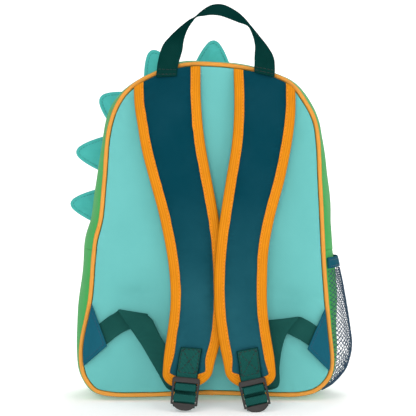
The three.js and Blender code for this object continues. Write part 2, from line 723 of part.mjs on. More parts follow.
// The strap's rim, down its left edge, round its end and up its right edge, with the inward direction.
function strapRim(strap) {
  const rim = [];
  const side = (i, s) => {
    const down = (strap.last * i) / STRAP_STEPS;
    const [p, q] = [strap.edge(down, s), strap.edge(down, -s)];
    rim.push({ p, inward: q.sub(p).normalize(), out: strap.frame(down).out, puff: strap.puff(down) });
  };
  for (let i = 0; i <= STRAP_STEPS; i++) side(i, -1);
  const start = strap.centre(strap.last);
  const { along, across, out } = strap.frame(strap.last);
  const half = strap.edge(strap.last, 1).distanceTo(strap.edge(strap.last, -1)) / 2;
  for (let i = 1; i < END_STEPS; i++) {
    const a = Math.PI - (Math.PI * i) / END_STEPS;
    const p = start
      .clone()
      .addScaledVector(across, half * Math.cos(a))
      .addScaledVector(along, STRAP_END_RISE * Math.sin(a));
    const inward = across
      .clone()
      .multiplyScalar(-Math.cos(a) * STRAP_END_RISE)
      .addScaledVector(along, -Math.sin(a) * half)
      .normalize();
    rim.push({ p, inward, out, puff: strap.puff(1) });
  }
  for (let i = STRAP_STEPS; i >= 0; i--) side(i, 1);
  return rim;
}

const edgeHalf = (puff) => (STRAP_EDGE / 2) * puff;

function strapBinding(side) {
  const rings = strapRim(straps[side]).map(({ p, inward, out, puff }) => {
    const inner = edgeHalf(puff) + GAP;
    const outer = inner + BINDING_WALL;
    const at = (a, b) => p.clone().addScaledVector(inward, a).addScaledVector(out, b);
    return [
      at(0, -outer),
      at(0, outer),
      at(BINDING_WIDTH, outer),
      at(BINDING_WIDTH, inner),
      at(BINDING_WALL, inner),
      at(BINDING_WALL, -inner),
      at(BINDING_WIDTH, -inner),
      at(BINDING_WIDTH, -outer),
    ];
  });
  return loft(rings);
}

// A ring of the foam pad inside the binding: thin under it, filled between.
function padRing(left, right, out, puff, fill) {
  const across = right.clone().sub(left);
  const width = across.length();
  across.normalize();
  const inset = BINDING_WALL + GAP;
  const hem = Math.min(BINDING_WIDTH + GAP, width * 0.45);
  const places = [inset, hem, hem + (width / 2 - hem) * 0.5, width / 2];
  const thin = edgeHalf(puff);
  const full = thin + ((STRAP_THICKNESS / 2) * puff - thin) * fill;
  const heights = [thin, thin, thin + (full - thin) * 0.8, full];
  const at = (a, b) => left.clone().addScaledVector(across, a).addScaledVector(out, b);
  const ring = [];
  const order = [0, 1, 2, 3, 2, 1, 0];
  order.forEach((k, i) => ring.push(at(i < 4 ? places[k] : width - places[k], heights[k])));
  [...order].reverse().forEach((k, i) => ring.push(at(i < 3 ? width - places[k] : places[k], -heights[k])));
  return ring;
}

function strapPad(side) {
  const strap = straps[side];
  const rings = [];
  for (let i = 0; i <= STRAP_STEPS; i++) {
    const down = (strap.last * i) / STRAP_STEPS;
    const [left, right] = [strap.edge(down, -1), strap.edge(down, 1)];
    const fill = i === STRAP_STEPS ? 0.3 : 1;
    rings.push(padRing(left, right, strap.frame(down).out, strap.puff(down), fill));
  }
  const start = strap.centre(strap.last);
  const { along, across, out } = strap.frame(strap.last);
  const half = strap.edge(strap.last, 1).distanceTo(strap.edge(strap.last, -1)) / 2;
  const inset = BINDING_WALL + 2 * GAP;
  const rise = STRAP_END_RISE - inset;
  for (const a of [20, 40, 58]) {
    const middle = start.clone().addScaledVector(along, rise * Math.sin(radians(a)));
    const reach = (half - inset) * Math.cos(radians(a)) + inset;
    const left = middle.clone().addScaledVector(across, -reach);
    const right = middle.clone().addScaledVector(across, reach);
    rings.push(padRing(left, right, out, strap.puff(1), 0));
  }
  return loft(rings);
}

// The place of a point at a buckle: x across it, a down it from its top edge and n out from the strap's face.
// Above the strap's rounded end, a runs up the strap's middle, so that webbing can lie on it.
function buckleSeat(side) {
  const strap = straps[side];
  const tilt = radians(BUCKLE_TILT[side]);
  const endRise = STRAP_END_RISE - BUCKLE_LAP[side];
  const end = strap.frame(strap.last);
  const top = strap.centre(strap.last).addScaledVector(end.along, endRise);
  const axes = ({ across, along, out }) => {
    const down = across.clone().cross(out);
    if (down.dot(along) < 0) down.negate();
    return {
      x: across.clone().multiplyScalar(Math.cos(tilt)).addScaledVector(down, -Math.sin(tilt)),
      a: down.clone().multiplyScalar(Math.cos(tilt)).addScaledVector(across, Math.sin(tilt)),
      n: out,
    };
  };
  const surface = (down) => (STRAP_THICKNESS / 2) * strap.puff(down) + GAP;
  const flat = axes(end);
  return (x, a, n) => {
    const above = -a - endRise;
    const down = above > 0 ? strap.downAt(above) : strap.last;
    const local = above > 0 ? axes(strap.frame(down)) : flat;
    const base = above > 0 ? strap.centre(down) : top.clone().addScaledVector(flat.a, a);
    return base.addScaledVector(local.x, x).addScaledVector(local.n, surface(down) + n);
  };
}

// Along the buckle: its top bar, the bar of the fixed webbing, the bar of the adjusting webbing and its thumb plate.
const BARS = [
  { from: 0, to: 5 },
  { from: 7.6, to: 11 },
  { from: 17, to: 21 },
  { from: 23.4, to: BUCKLE_LENGTH },
];
const LAYER = WEBBING_WALL + GAP;
const BUCKLE_BACK = 2 * LAYER; // above the two layers of the patch
const BUCKLE_FRONT = BUCKLE_BACK + BUCKLE_WALL;
const OFF_BAR = GAP + WEBBING_WALL / 2; // from a bar's face to the middle of webbing wound on it
const BEND = 0.7; // how far webbing cuts a corner

function buckle(side) {
  const half = BUCKLE_WIDTH / 2;
  const plate = BARS[3].from + 1.4;
  const outline = new THREE.Shape();
  outline.moveTo(-half + 1.5, 0);
  outline.lineTo(half - 1.5, 0);
  outline.lineTo(half, 1.5);
  outline.lineTo(half - 0.4, plate);
  outline.lineTo(half - 3, plate + 0.6);
  outline.quadraticCurveTo(half - 5.5, BUCKLE_LENGTH, 0, BUCKLE_LENGTH);
  outline.quadraticCurveTo(-half + 5.5, BUCKLE_LENGTH, -half + 3, plate + 0.6);
  outline.lineTo(-half + 0.4, plate);
  outline.lineTo(-half, 1.5);
  outline.closePath();
  for (let i = 0; i < 3; i++) {
    const inside = half - BUCKLE_RAIL;
    const slot = new THREE.Path();
    slot.moveTo(-inside, BARS[i].to);
    slot.lineTo(-inside, BARS[i + 1].from);
    slot.lineTo(inside, BARS[i + 1].from);
    slot.lineTo(inside, BARS[i].to);
    slot.closePath();
    outline.holes.push(slot);
  }
  const settings = { depth: BUCKLE_WALL, bevelEnabled: false, curveSegments: 5 };
  const flat = new THREE.ExtrudeGeometry(outline, settings).getAttribute("position");
  const seat = buckleSeat(side);
  const point = (i) => seat(flat.getX(i), flat.getY(i), BUCKLE_BACK + flat.getZ(i));
  const triangles = [];
  for (let i = 0; i < flat.count; i += 3) triangles.push([point(i), point(i + 1), point(i + 2)]);
  return solidFrom(triangles);
}

// Stations of webbing wound at a buckle, from places down it and out of the strap's face.
function wound(side, places) {
  const seat = buckleSeat(side);
  const half = (a, n) => seat(WEBBING_WIDTH / 2, a, n).sub(seat(0, a, n));
  return places.map(([a, n]) => ({ middle: seat(0, a, n), half: half(a, n) }));
}

// The fixed webbing: down over the strap, round its bar and back up beneath itself.
function strapPatch(side) {
  const lower = WEBBING_WALL / 2;
  const upper = lower + LAYER;
  const front = BUCKLE_FRONT + OFF_BAR;
  const into = BARS[1].from - OFF_BAR - 0.2;
  const back = BARS[1].to + OFF_BAR;
  const places = [];
  const steps = 6;
  const reach = (i) => -PATCH_LENGTH + ((PATCH_LENGTH + 2) * i) / steps;
  for (let i = 0; i <= steps; i++) places.push([reach(i), upper]);
  places.push([into - BEND, upper], [into, upper + BEND], [into, front - BEND], [into + BEND, front]);
  places.push([back - BEND, front], [back, front - BEND], [back, lower + BEND], [back - BEND, lower]);
  for (let i = steps; i >= 0; i--) places.push([reach(i), lower]);
  return band(wound(side, places), WEBBING_WALL);
}

// The adjusting webbing: out of the corner tab, folded, behind the strap, round its bar and down to its free end.
function adjustWebbing(side) {
  const loose = WEBBING_TABLES[side].map((row) => ({
    middle: vec(
      row.x * HALF_WIDTH,
      BACK_Y - row.out * STRAP_REACH,
      BASE_LIFT + row.z * BAG_HEIGHT,
    ),
    half: halfAcross(row.lean, row.turn, WEBBING_WIDTH * row.spread),
  }));
  const strap = straps[side];
  const behind = -STRAP_THICKNESS * strap.puff(1) - 2 * GAP - WEBBING_WALL;
  const front = BUCKLE_FRONT + OFF_BAR;
  const into = BARS[2].from - OFF_BAR - 0.2;
  const back = BARS[2].to + OFF_BAR;
  const under = BUCKLE_BACK - OFF_BAR;
  const places = [
    [into - 9, behind - 1],
    [into - 3, behind],
    [into - BEND, behind + 1.4],
    [into, behind + 3.4],
    [into, front - BEND],
    [into + BEND, front],
    [back - BEND, front],
    [back, front - BEND],
    [back, under + BEND],
    [back + BEND, under],
    [back + TAIL_LENGTH, under - 0.5],
  ];
  // Both halves of a fold run the same way across.
  const woundOn = wound(side, places);
  const turned = loose[loose.length - 1].half.dot(woundOn[0].half) < 0;
  if (turned) woundOn.forEach((station) => station.half.negate());
  const joined = [...loose.slice(-3), woundOn[0]];
  const soft = [...soften(loose, 30), ...soften(joined, 9).slice(-3)];
  return band([...soft, ...woundOn.slice(1)], WEBBING_WALL);
}

// A corner tab: from its seam beside the piping to its free corner, over the webbing's end.
function cornerTab(side) {
  const row = TAB_TABLE[side];
  const at = row.side > 0 ? rightAtHeight : leftAtHeight;
  const height = (share) => at(BASE_LIFT + share * BAG_HEIGHT);
  const [from, to] = [height(row.lower), height(row.upper)];
  const seamOut = PANEL_RIM + TAB_CLEARANCE;
  const steps = 6;
  const rim = [];
  for (let i = 0; i <= steps; i++) {
    const u = from + ((to - from) * i) / steps;
    const p = seamPoint(u).addScaledVector(seamOutward(u), -SEAM_INSET);
    p.y = BACK_Y - seamOut;
    rim.push(p);
  }
  const corner = vec(
    row.cornerX * HALF_WIDTH,
    BACK_Y - seamOut - TAB_RISE,
    BASE_LIFT + row.cornerZ * BAG_HEIGHT,
  );
  const triangles = [];
  const lifted = (p) => p.clone().setY(p.y - TAB_WALL);
  const edge = [...rim, corner];
  for (let i = 0; i < steps; i++) {
    triangles.push([rim[i + 1], rim[i], corner]);
    triangles.push([lifted(rim[i]), lifted(rim[i + 1]), lifted(corner)]);
  }
  edge.forEach((p, i) => {
    const q = edge[(i + 1) % edge.length];
    triangles.push([p, q, lifted(q)], [p, lifted(q), lifted(p)]);
  });
  return solidFrom(triangles);
}

// The pocket's skin on the right side: s runs up it, v across it from the back seam to the front seam.
const pocketFoot = rightAtHeight(POCKET_FOOT);
const pocketMouth = rightAtHeight(POCKET_TOP);
const POCKET_EDGE = 0.03; // the net's margin inside the two seams, a share of the depth
const pocketBandShare = POCKET_BAND_HEIGHT / ((pocketMouth - pocketFoot) * SEAM_LENGTH);

function pocketPoint(s, t) {
  const v = POCKET_EDGE + t * (1 - 2 * POCKET_EDGE);
  const u = pocketFoot + s * (pocketMouth - pocketFoot);
  const swell = POCKET_BULGE * lookUp(POCKET_TABLE, "up", "share", s) * Math.sin(Math.PI * t) ** 0.6;
  return wallPoint(u, v, GAP + swell);
}

function pocketNormal(s, t) {
  const step = 0.01;
  const [s0, s1] = [Math.max(s - step, 0), Math.min(s + step, 1)];
  const [t0, t1] = [Math.max(t - step, 0), Math.min(t + step, 1)];
  const along = pocketPoint(s1, t).sub(pocketPoint(s0, t));
  const across = pocketPoint(s, t1).sub(pocketPoint(s, t0));
  const normal = across.cross(along).normalize();
  return normal.x < 0 ? normal.negate() : normal;
}

const pocketLayer = (s, t, wall) => pocketPoint(s, t).addScaledVector(pocketNormal(s, t), wall);

function pocketBand() {
  const columns = 12;
  const steps = 3;
  const rings = [];
  for (let i = 0; i <= steps; i++) {
    const s = 1 - pocketBandShare * (1 - i / steps);
    const ring = [];
    for (let k = 0; k <= columns; k++) ring.push(pocketLayer(s, k / columns, POCKET_BAND_WALL));
    for (let k = columns; k >= 0; k--) ring.push(pocketLayer(s, k / columns, 0));
    rings.push(ring);
  }
  return loft(rings);
}

// The net, a coarse one with a diamond cut through each of its cells.
function pocketNet() {
  const top = 1 - pocketBandShare - GAP / ((pocketMouth - pocketFoot) * SEAM_LENGTH);
  const triangles = [];
  const corner = (i, k) => [(top * i) / POCKET_ROWS, k / POCKET_COLUMNS];
  const at = ([s, t], layer) => pocketLayer(s, t, layer * POCKET_NET_WALL);
  const mix = (p, q, share) => [p[0] + (q[0] - p[0]) * share, p[1] + (q[1] - p[1]) * share];
  const wallBetween = (p, q) =>
    triangles.push([at(q, 0), at(p, 0), at(q, 1)], [at(p, 0), at(p, 1), at(q, 1)]);
  for (let i = 0; i < POCKET_ROWS; i++) {
    for (let k = 0; k < POCKET_COLUMNS; k++) {
      const square = [corner(i, k), corner(i, k + 1), corner(i + 1, k + 1), corner(i + 1, k)];
      const middle = mix(square[0], square[2], 0.5);
      const hole = square.map((p, j) => mix(middle, mix(p, square[(j + 1) % 4], 0.5), POCKET_HOLE));
      for (let j = 0; j < 4; j++) {
        const n = (j + 1) % 4;
        for (const [a, b, c] of [
          [square[j], square[n], hole[j]],
          [square[n], hole[n], hole[j]],
        ]) {
          triangles.push([at(a, 1), at(b, 1), at(c, 1)], [at(c, 0), at(b, 0), at(a, 0)]);
        }
        wallBetween(hole[j], hole[n]);
      }
      if (i === 0) wallBetween(square[1], square[0]);
      if (i === POCKET_ROWS - 1) wallBetween(square[3], square[2]);
      if (k === 0) wallBetween(square[0], square[3]);
      if (k === POCKET_COLUMNS - 1) wallBetween(square[2], square[1]);
    }
  }
  return solidFrom(triangles);
}

const COLORS = {
  aqua: 0x6cc0bc,
  petrol: 0x104b5a,
  orange: 0xf29814,
  pipingOrange: 0xe1a04b,
  green: 0x4bb469,
  webbing: 0x125548,
  navy: 0x1e5a78,
  teal: 0x46afa5,
  charcoal: 0x4b4642,
};

const pieces = [
  ["back_panel", "aqua", backPanel],
  ["front_panel", "green", frontPanel],
  ["gusset_lower", "green", lowerWall],
  ["zip_gusset_back", "green", () => upperWall(0, zipBack)],
  ["zip_gusset_front", "green", () => upperWall(zipFront, 1)],
  ["zip_chain", "webbing", zipper],
  ["zip_slider", "charcoal", zipPull],
  ["back_piping", "pipingOrange", piping],
  ...SPIKE_TABLE.map((row, i) => [`spike_${i + 1}`, "teal", () => spike(row)]),
  ["carry_handle", "webbing", carryHandle],
  ["pocket_net", "navy", pocketNet],
  ["pocket_band", "navy", pocketBand],
];
for (const side of ["left", "right"]) {
  pieces.push(
    [`strap_${side}`, "petrol", () => strapPad(side)],
    [`strap_binding_${side}`, "orange", () => strapBinding(side)],
    [`buckle_${side}`, "charcoal", () => buckle(side)],
    [`strap_patch_${side}`, "webbing", () => strapPatch(side)],
    [`adjust_webbing_${side}`, "webbing", () => adjustWebbing(side)],
    [`tab_${side}`, "navy", () => cornerTab(side)],
  );
}

const backpack = new THREE.Group();
backpack.name = "kids_animal_backpack";
for (const [name, color, make] of pieces) {
  const material = new THREE.MeshStandardMaterial({ color: COLORS[color] });
  material.name = name;
  const mesh = new THREE.Mesh(make(), material);
  mesh.name = name;
  backpack.add(mesh);
}

export default backpack;
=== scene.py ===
# %% [markdown]
# # A small child's animal backpack, seen from the side with the shoulder straps
#
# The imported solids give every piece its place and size. This file dresses them: each soft piece is made
# again as a fine surface on the same named sizes, then gets its weave, its stitches and its wear. Lengths
# are written in millimetres and become metres when a mesh is made.

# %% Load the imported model
import math

import bmesh
import bpy
import numpy as np
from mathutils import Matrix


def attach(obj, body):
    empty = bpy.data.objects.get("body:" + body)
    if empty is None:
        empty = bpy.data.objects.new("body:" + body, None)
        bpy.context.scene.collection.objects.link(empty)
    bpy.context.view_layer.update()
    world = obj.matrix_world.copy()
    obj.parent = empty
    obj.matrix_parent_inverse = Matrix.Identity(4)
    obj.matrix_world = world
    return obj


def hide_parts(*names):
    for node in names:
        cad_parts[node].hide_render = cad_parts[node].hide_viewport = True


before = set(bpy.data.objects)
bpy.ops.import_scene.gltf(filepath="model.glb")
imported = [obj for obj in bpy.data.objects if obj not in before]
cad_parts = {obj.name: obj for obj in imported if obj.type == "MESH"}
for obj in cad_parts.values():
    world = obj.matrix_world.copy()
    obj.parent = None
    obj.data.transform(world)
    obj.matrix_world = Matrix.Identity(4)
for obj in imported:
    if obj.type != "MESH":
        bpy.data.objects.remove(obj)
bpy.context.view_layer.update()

MM = 0.001


def add_object(name, data):
    """A new object of the scene, made from its data."""
    made = bpy.data.objects.new(name, data)
    bpy.context.scene.collection.objects.link(made)
    return made


def table(columns, *rows):
    """The rows of a table, each as a dictionary by the names of its columns."""
    return [dict(zip(columns.split(), row)) for row in rows]


# %% [markdown]
# ## Camera, floor and light
#
# The photograph looks level and straight at the back panel. A lens of some 90 mm at a metre gives the
# same mild perspective: the buckles stand nearer than the seam and so look a little larger. The floor
# curves up into a white wall, as the paper roll of a photographer does, and big soft lamps leave no hard
# shadows.

# %% The camera, level with the middle of the picture
SEAM_Y = -42.0  # the plane of the back seam
VIEW_WIDTH = 401.4  # what the picture spans at that plane
VIEW_MIDDLE = 186.0  # height of the picture's middle
CAMERA_DISTANCE = 1000.0
SENSOR = 36.0

camera_data = bpy.data.cameras.new("photo_camera")
camera_data.sensor_width = SENSOR
camera_data.lens = SENSOR * CAMERA_DISTANCE / VIEW_WIDTH
camera = add_object("photo_camera", camera_data)
camera.location = (0, (SEAM_Y - CAMERA_DISTANCE) * MM, VIEW_MIDDLE * MM)
camera.rotation_euler = (math.radians(90), 0, 0)
bpy.context.scene.camera = camera
bpy.context.scene.view_settings.view_transform = "Standard"
print("lens", round(camera_data.lens, 1), "mm")

# %% The paper roll behind it
ROLL_HALF_WIDTH = 3.0
ROLL_FRONT = -3.0
ROLL_BEND = 1.2  # where the floor starts to rise
ROLL_RADIUS = 0.8
ROLL_TOP = 3.0

roll_profile = [(ROLL_FRONT, 0.0), (ROLL_BEND, 0.0)]
for step in range(1, 13):
    angle = math.pi / 2 * step / 12
    roll_profile.append((ROLL_BEND + ROLL_RADIUS * math.sin(angle), ROLL_RADIUS * (1 - math.cos(angle))))
roll_profile.append((ROLL_BEND + ROLL_RADIUS, ROLL_TOP))
roll_points = [(x, y, z) for y, z in roll_profile for x in (-ROLL_HALF_WIDTH, ROLL_HALF_WIDTH)]
roll_faces = [(2 * i, 2 * i + 1, 2 * i + 3, 2 * i + 2) for i in range(len(roll_profile) - 1)]
roll_mesh = bpy.data.meshes.new("paper_roll")
roll_mesh.from_pydata(roll_points, [], roll_faces)
roll_mesh.shade_smooth()
paper_roll = add_object("paper_roll", roll_mesh)
paper = bpy.data.materials.new("white_paper")
paper.use_nodes = True
paper_shader = paper.node_tree.nodes["Principled BSDF"]
PAPER_LOOK = {
    "Base Color": (0.92, 0.92, 0.92, 1),
    "Roughness": 0.9,
    "Specular IOR Level": 0.1,
    "Emission Color": (1, 1, 1, 1),
    "Emission Strength": 0.2,
}
for label, value in PAPER_LOOK.items():
    paper_shader.inputs[label].default_value = value
roll_mesh.materials.append(paper)
print("paper roll made")

# %% Soft lamps


def soft_lamp(name, place, aim, size, watts):
    """A square area lamp at a place, turned towards another."""
    data = bpy.data.lights.new(name, "AREA")
    data.size = size
    data.energy = watts
    lamp = add_object(name, data)
    lamp.location = place
    direction = np.subtract(aim, place)
    turn = math.atan2(direction[1], direction[0])
    tip = math.acos(-direction[2] / np.linalg.norm(direction))
    lamp.rotation_euler = (tip, 0, turn - math.pi / 2)


HEART = (0, 0, 0.18)
WORLD_LIGHT = 0.62
LAMP_TABLE = table(
    "name place aim size watts",
    ("key_lamp", (-0.9, -1.4, 1.5), HEART, 1.1, 7.5),
    ("fill_lamp", (1.3, -1.2, 0.8), HEART, 1.2, 9),
    ("low_lamp", (-0.1, -1.8, 0.2), (0, 0, 0.07), 0.9, 24),
    ("rim_lamp", (0.3, 1.4, 1.6), HEART, 1.0, 16),
)
for row in LAMP_TABLE:
    soft_lamp(**row)
world = bpy.data.worlds.new("studio")
world.use_nodes = True
world.node_tree.nodes["Background"].inputs["Color"].default_value = (1.0, 1.0, 1.0, 1)
world.node_tree.nodes["Background"].inputs["Strength"].default_value = WORLD_LIGHT
bpy.context.scene.world = world

# %% [markdown]
# ## Shader maths
#
# A material is easier to read as a formula than as a list of nodes. A small class wraps a socket, so that
# `weave * 0.3 + 0.5` adds the Math nodes by itself, and one method makes any other node. Colours go
# through Mix nodes, because a Math node would turn them grey.

# %% A socket that does sums


class Value:
    """A number that varies over a surface: the output socket of a node."""

    def __init__(self, bench, socket):
        self.bench = bench
        self.socket = socket

    def sum(self, operation, *others):
        return self.bench.node("ShaderNodeMath", {"operation": operation}, [self, *others])

    def __add__(self, other):
        return self.sum("ADD", other)

    def __sub__(self, other):
        return self.sum("SUBTRACT", other)

    def __rsub__(self, other):
        return self.bench.node("ShaderNodeMath", {"operation": "SUBTRACT"}, [other, self])

    def __mul__(self, other):
        return self.sum("MULTIPLY", other)

    def __truediv__(self, other):
        return self.sum("DIVIDE", other)

    def sine(self):
        return self.sum("SINE")

    def power(self, exponent):
        return self.sum("POWER", exponent)

    def clamped(self):
        return self.bench.node("ShaderNodeClamp", {}, [self])


class Bench:
    """A material's node tree, with one method that makes any node in it."""

    def __init__(self, name):
        self.material = bpy.data.materials.new(name)
        self.material.use_nodes = True
        self.tree = self.material.node_tree
        self.shader = self.tree.nodes["Principled BSDF"]

    def node(self, kind, settings, sockets=(), output=0):
        made = self.tree.nodes.new(kind)
        for name, value in settings.items():
            setattr(made, name, value)
        named = sockets.items() if isinstance(sockets, dict) else enumerate(sockets)
        for key, value in named:
            self.fill(made.inputs[key], value)
        return Value(self, made.outputs[output])

    def fill(self, socket, value):
        if isinstance(value, Value):
            self.tree.links.new(value.socket, socket)
        else:
            socket.default_value = value

    def mix(self, factor, first, second):
        first = first if isinstance(first, Value) else (*first, 1)
        second = second if isinstance(second, Value) else (*second, 1)
        return self.node("ShaderNodeMix", {"data_type": "RGBA"}, {0: factor, 6: first, 7: second}, 2)

    def place(self):
        return self.node("ShaderNodeTexCoord", {}, output=3)

    def split(self, vector):
        """The three numbers of a vector."""
        parts = self.tree.nodes.new("ShaderNodeSeparateXYZ")
        self.fill(parts.inputs[0], vector)
        return [Value(self, socket) for socket in parts.outputs]

    def height(self):
        """How high the point is over the floor, in metres."""
        return self.split(self.place())[2]

    def along_and_across(self):
        """The two directions of the cloth, in millimetres, from the piece's own UV map."""
        return self.split(self.node("ShaderNodeUVMap", {"uv_map": "cloth"}))[:2]

    def noise(self, scale, detail=2.0, roughness=0.5):
        values = {"Vector": self.place(), "Scale": scale, "Detail": detail, "Roughness": roughness}
        return self.node("ShaderNodeTexNoise", {}, values)

    def bump(self, height, strength, distance, below=None):
        values = {"Strength": strength, "Distance": distance, "Height": height}
        if below is not None:
            values["Normal"] = below
        return self.node("ShaderNodeBump", {}, values)

    def finish(self, color, roughness, normal, sheen=0.0, specular=0.3):
        self.fill(self.shader.inputs["Base Color"], color)
        self.fill(self.shader.inputs["Roughness"], roughness)
        self.fill(self.shader.inputs["Normal"], normal)
        self.shader.inputs["Sheen Weight"].default_value = sheen
        self.shader.inputs["Specular IOR Level"].default_value = specular
        return self.material


def linear(red, green, blue):
    """A colour as a screen shows it, 0 to 255, as the shader wants it."""
    return tuple(
        ((c / 255 + 0.055) / 1.055) ** 2.4 if c > 10 else c / 255 / 12.92 for c in (red, green, blue)
    )


print("shader maths ready")

# %% [markdown]
# ## The finishes
#
# The body and the straps are plain-woven polyester, the tapes are ribbed, and the webbing is a thick
# weave with slanting ribs. Each finish reads the cloth's own directions, in millimetres, so that a thread
# is as wide on the strap as on the panel. Large slow noise fades the colour a little, as handling and
# light do.

# %% Woven polyester
LOW_TONE_TOP = 0.20  # metres over the floor, below which the straps turn paler towards the bottom
LOW_TONE_DEPTH = 0.11


def worn_tone(color, gain, lift):
    """A colour as it looks where it is rubbed pale."""
    return tuple(min(c * gain + lift, 1) for c in color)


def woven_cloth(
    name, color, shade, thread=0.75, relief=0.22, worn=0.12, seed=0.0, sheen=0.08, specular=0.18, low_tone=None
):
    """Plain weave with darker gaps between its threads; low_tone is the paler tone of its lower part."""
    bench = Bench(name)
    along, across = bench.along_and_across()
    turn = math.pi / thread
    wander = bench.noise(90 + seed, 2.0) * 0.25
    warp = (along * turn + wander).sine()
    weft = (across * turn + wander).sine()
    over = warp * weft * 0.5 + 0.5
    patches = bench.noise(14 + seed, 4.0, 0.6)
    fuzz = bench.noise(900, 2.0)
    gap = (1 - over).power(3.0)
    base = bench.mix(gap * 0.55, color, shade)
    faded = bench.mix((patches * 1.6 - 0.45).clamped() * worn, base, worn_tone(color, 1.5, 0.03))
    toned = bench.mix((0.62 - patches).clamped() * 0.5, faded, shade)
    # Paler towards the bottom, by height over the floor, in noisy patches.
    if low_tone is not None:
        low = (LOW_TONE_TOP - bench.height()) / LOW_TONE_DEPTH
        toned = bench.mix(low.clamped() * (patches * 0.9 + 0.25).clamped(), toned, low_tone)
    creases = bench.noise(45 + seed, 3.0, 0.55)
    slow = bench.bump(creases, 0.25, 1.2 * MM)
    normal = bench.bump(over + fuzz * 0.35, 0.55, relief * MM, slow)
    return bench.finish(toned, patches * 0.12 + 0.74, normal, sheen, specular)


TAPE_LINE = 2.1  # how far apart the darker lines along a tape are


def ribbed_tape(name, color, shade, rib=0.85, relief=0.2, strength=0.6):
    """Grosgrain tape: fine ribs across its length and darker lines along it."""
    bench = Bench(name)
    along, across = bench.along_and_across()
    ribs = (along * (2 * math.pi / rib) + bench.noise(160) * 1.2).sine() * 0.5 + 0.5
    lines = (across * (2 * math.pi / TAPE_LINE)).sine() * 0.5 + 0.5
    patches = bench.noise(30, 3.0, 0.6)
    groove = (1 - ribs).power(2.0)
    base = bench.mix(groove * 0.5, color, shade)
    lined = bench.mix((1 - lines).power(3.0) * 0.45, base, shade)
    toned = bench.mix((patches * 1.5 - 0.5).clamped() * 0.35, lined, shade)
    height = ribs + lines * 0.5 + bench.noise(800) * 0.3
    normal = bench.bump(height, strength, relief * MM, bench.bump(patches, 0.15, 1.0 * MM))
    return bench.finish(toned, 0.72, normal, specular=0.14)


WEBBING_RIB = 1.3  # how far apart the webbing's ribs are
EDGE_SHADOW_FROM = 8.8  # where the painted shadow along a patch's edges begins, from its middle line
TOP_SHADOW_WIDTH = 1.3  # how wide the painted shadow line across a patch's top end is


def woven_webbing(name, color, shade, shadow_edges=False):
    """Polypropylene webbing: coarse ribs run aslant over fine lengthwise ones; a patch gets painted shadow
    round its edges.
    """
    bench = Bench(name)
    along, across = bench.along_and_across()
    turn = 2 * math.pi / WEBBING_RIB
    slant = (along * turn + across * (turn / 2)).sine() * 0.5 + 0.5
    ribs = (across * turn).sine() * 0.5 + 0.5
    patches = bench.noise(35, 3.0, 0.6)
    height = slant * 0.7 + ribs * 0.3
    groove = ((1.0 - height) * 0.75).clamped()
    base = bench.mix(groove, color, shade)
    toned = bench.mix((patches * 1.5 - 0.45).clamped() * 0.3, base, worn_tone(color, 1.4, 0.01))
    if shadow_edges:
        # Painted shadow: a dark line along both edges of a patch and across its top end, where it sits on the
        # strap.
        side_shadow = ((across * across - EDGE_SHADOW_FROM**2) * 0.06).clamped()
        rim = (side_shadow + (1.0 - along * (1 / TOP_SHADOW_WIDTH)).clamped()).clamped()
        toned = bench.mix(rim * 0.85, toned, tuple(c * 0.3 for c in shade))
    normal = bench.bump(height + bench.noise(900) * 0.2, 0.9, 0.4 * MM)
    return bench.finish(toned, 0.7, normal, specular=0.0)


AQUA = linear(90, 162, 159)
GREEN = linear(56, 151, 74)
PETROL = linear(4, 55, 67)
ORANGE = linear(208, 130, 4)
PIPING_ORANGE = linear(212, 150, 66)
WEBBING_GREEN = linear(28, 82, 76)
# The handle is the same webbing as the rest; its darker green is painted shade.
HANDLE_GREEN_SHADED = linear(6, 54, 50)
NAVY = linear(18, 80, 96)
NET_NAVY = linear(26, 66, 98)
PLATE_TEAL = linear(66, 166, 160)

panel_cloth = woven_cloth("aqua_cloth", AQUA, linear(70, 146, 142), relief=0.15, worn=0.1)
body_cloth = woven_cloth("green_cloth", GREEN, linear(36, 124, 54), seed=3.0)
strap_cloth = woven_cloth(
    "petrol_cloth", PETROL, linear(2, 38, 48), thread=0.8, worn=0.12, seed=5.0, sheen=0.0, specular=0.0,
    low_tone=linear(30, 80, 90),
)
tab_cloth = woven_cloth("navy_cloth", NAVY, linear(8, 54, 70), seed=7.0, sheen=0.0, specular=0.04)
plate_cloth = woven_cloth("teal_cloth", PLATE_TEAL, linear(34, 128, 122), seed=9.0)
binding_tape = ribbed_tape("orange_binding", ORANGE, linear(150, 80, 0))
piping_tape = ribbed_tape("orange_piping", PIPING_ORANGE, linear(176, 104, 32), rib=1.1)
zip_tape = ribbed_tape("zip_tape", linear(46, 128, 74), linear(26, 84, 46), rib=0.7)
webbing_cloth = woven_webbing("green_webbing", WEBBING_GREEN, linear(6, 26, 25))
patch_cloth = woven_webbing("patch_webbing", WEBBING_GREEN, linear(5, 42, 40), shadow_edges=True)
shaded_handle_cloth = woven_webbing("handle_webbing", HANDLE_GREEN_SHADED, linear(1, 18, 16))

# %% Thread, net and moulded plastic


def sewing_thread(name, color, shade):
    """Twisted thread: a fine uneven grain stands for its turns."""
    bench = Bench(name)
    twist = bench.noise(1500, 2.0)
    toned = bench.mix(twist * 0.6, color, shade)
    return bench.finish(toned, 0.6, bench.bump(twist, 0.5, 0.1 * MM), sheen=0.1)


def moulded_plastic(name, color, light):
    """Moulded plastic: a fine grain, rubbed lighter in patches."""
    bench = Bench(name)
    grain = bench.noise(1400, 3.0, 0.6)
    rub = bench.noise(120, 4.0, 0.7)
    toned = bench.mix((rub * 1.8 - 0.75).clamped() * 0.5, color, light)
    normal = bench.bump(grain, 0.25, 0.12 * MM)
    return bench.finish(toned, rub * 0.25 + 0.42, normal, specular=0.25)


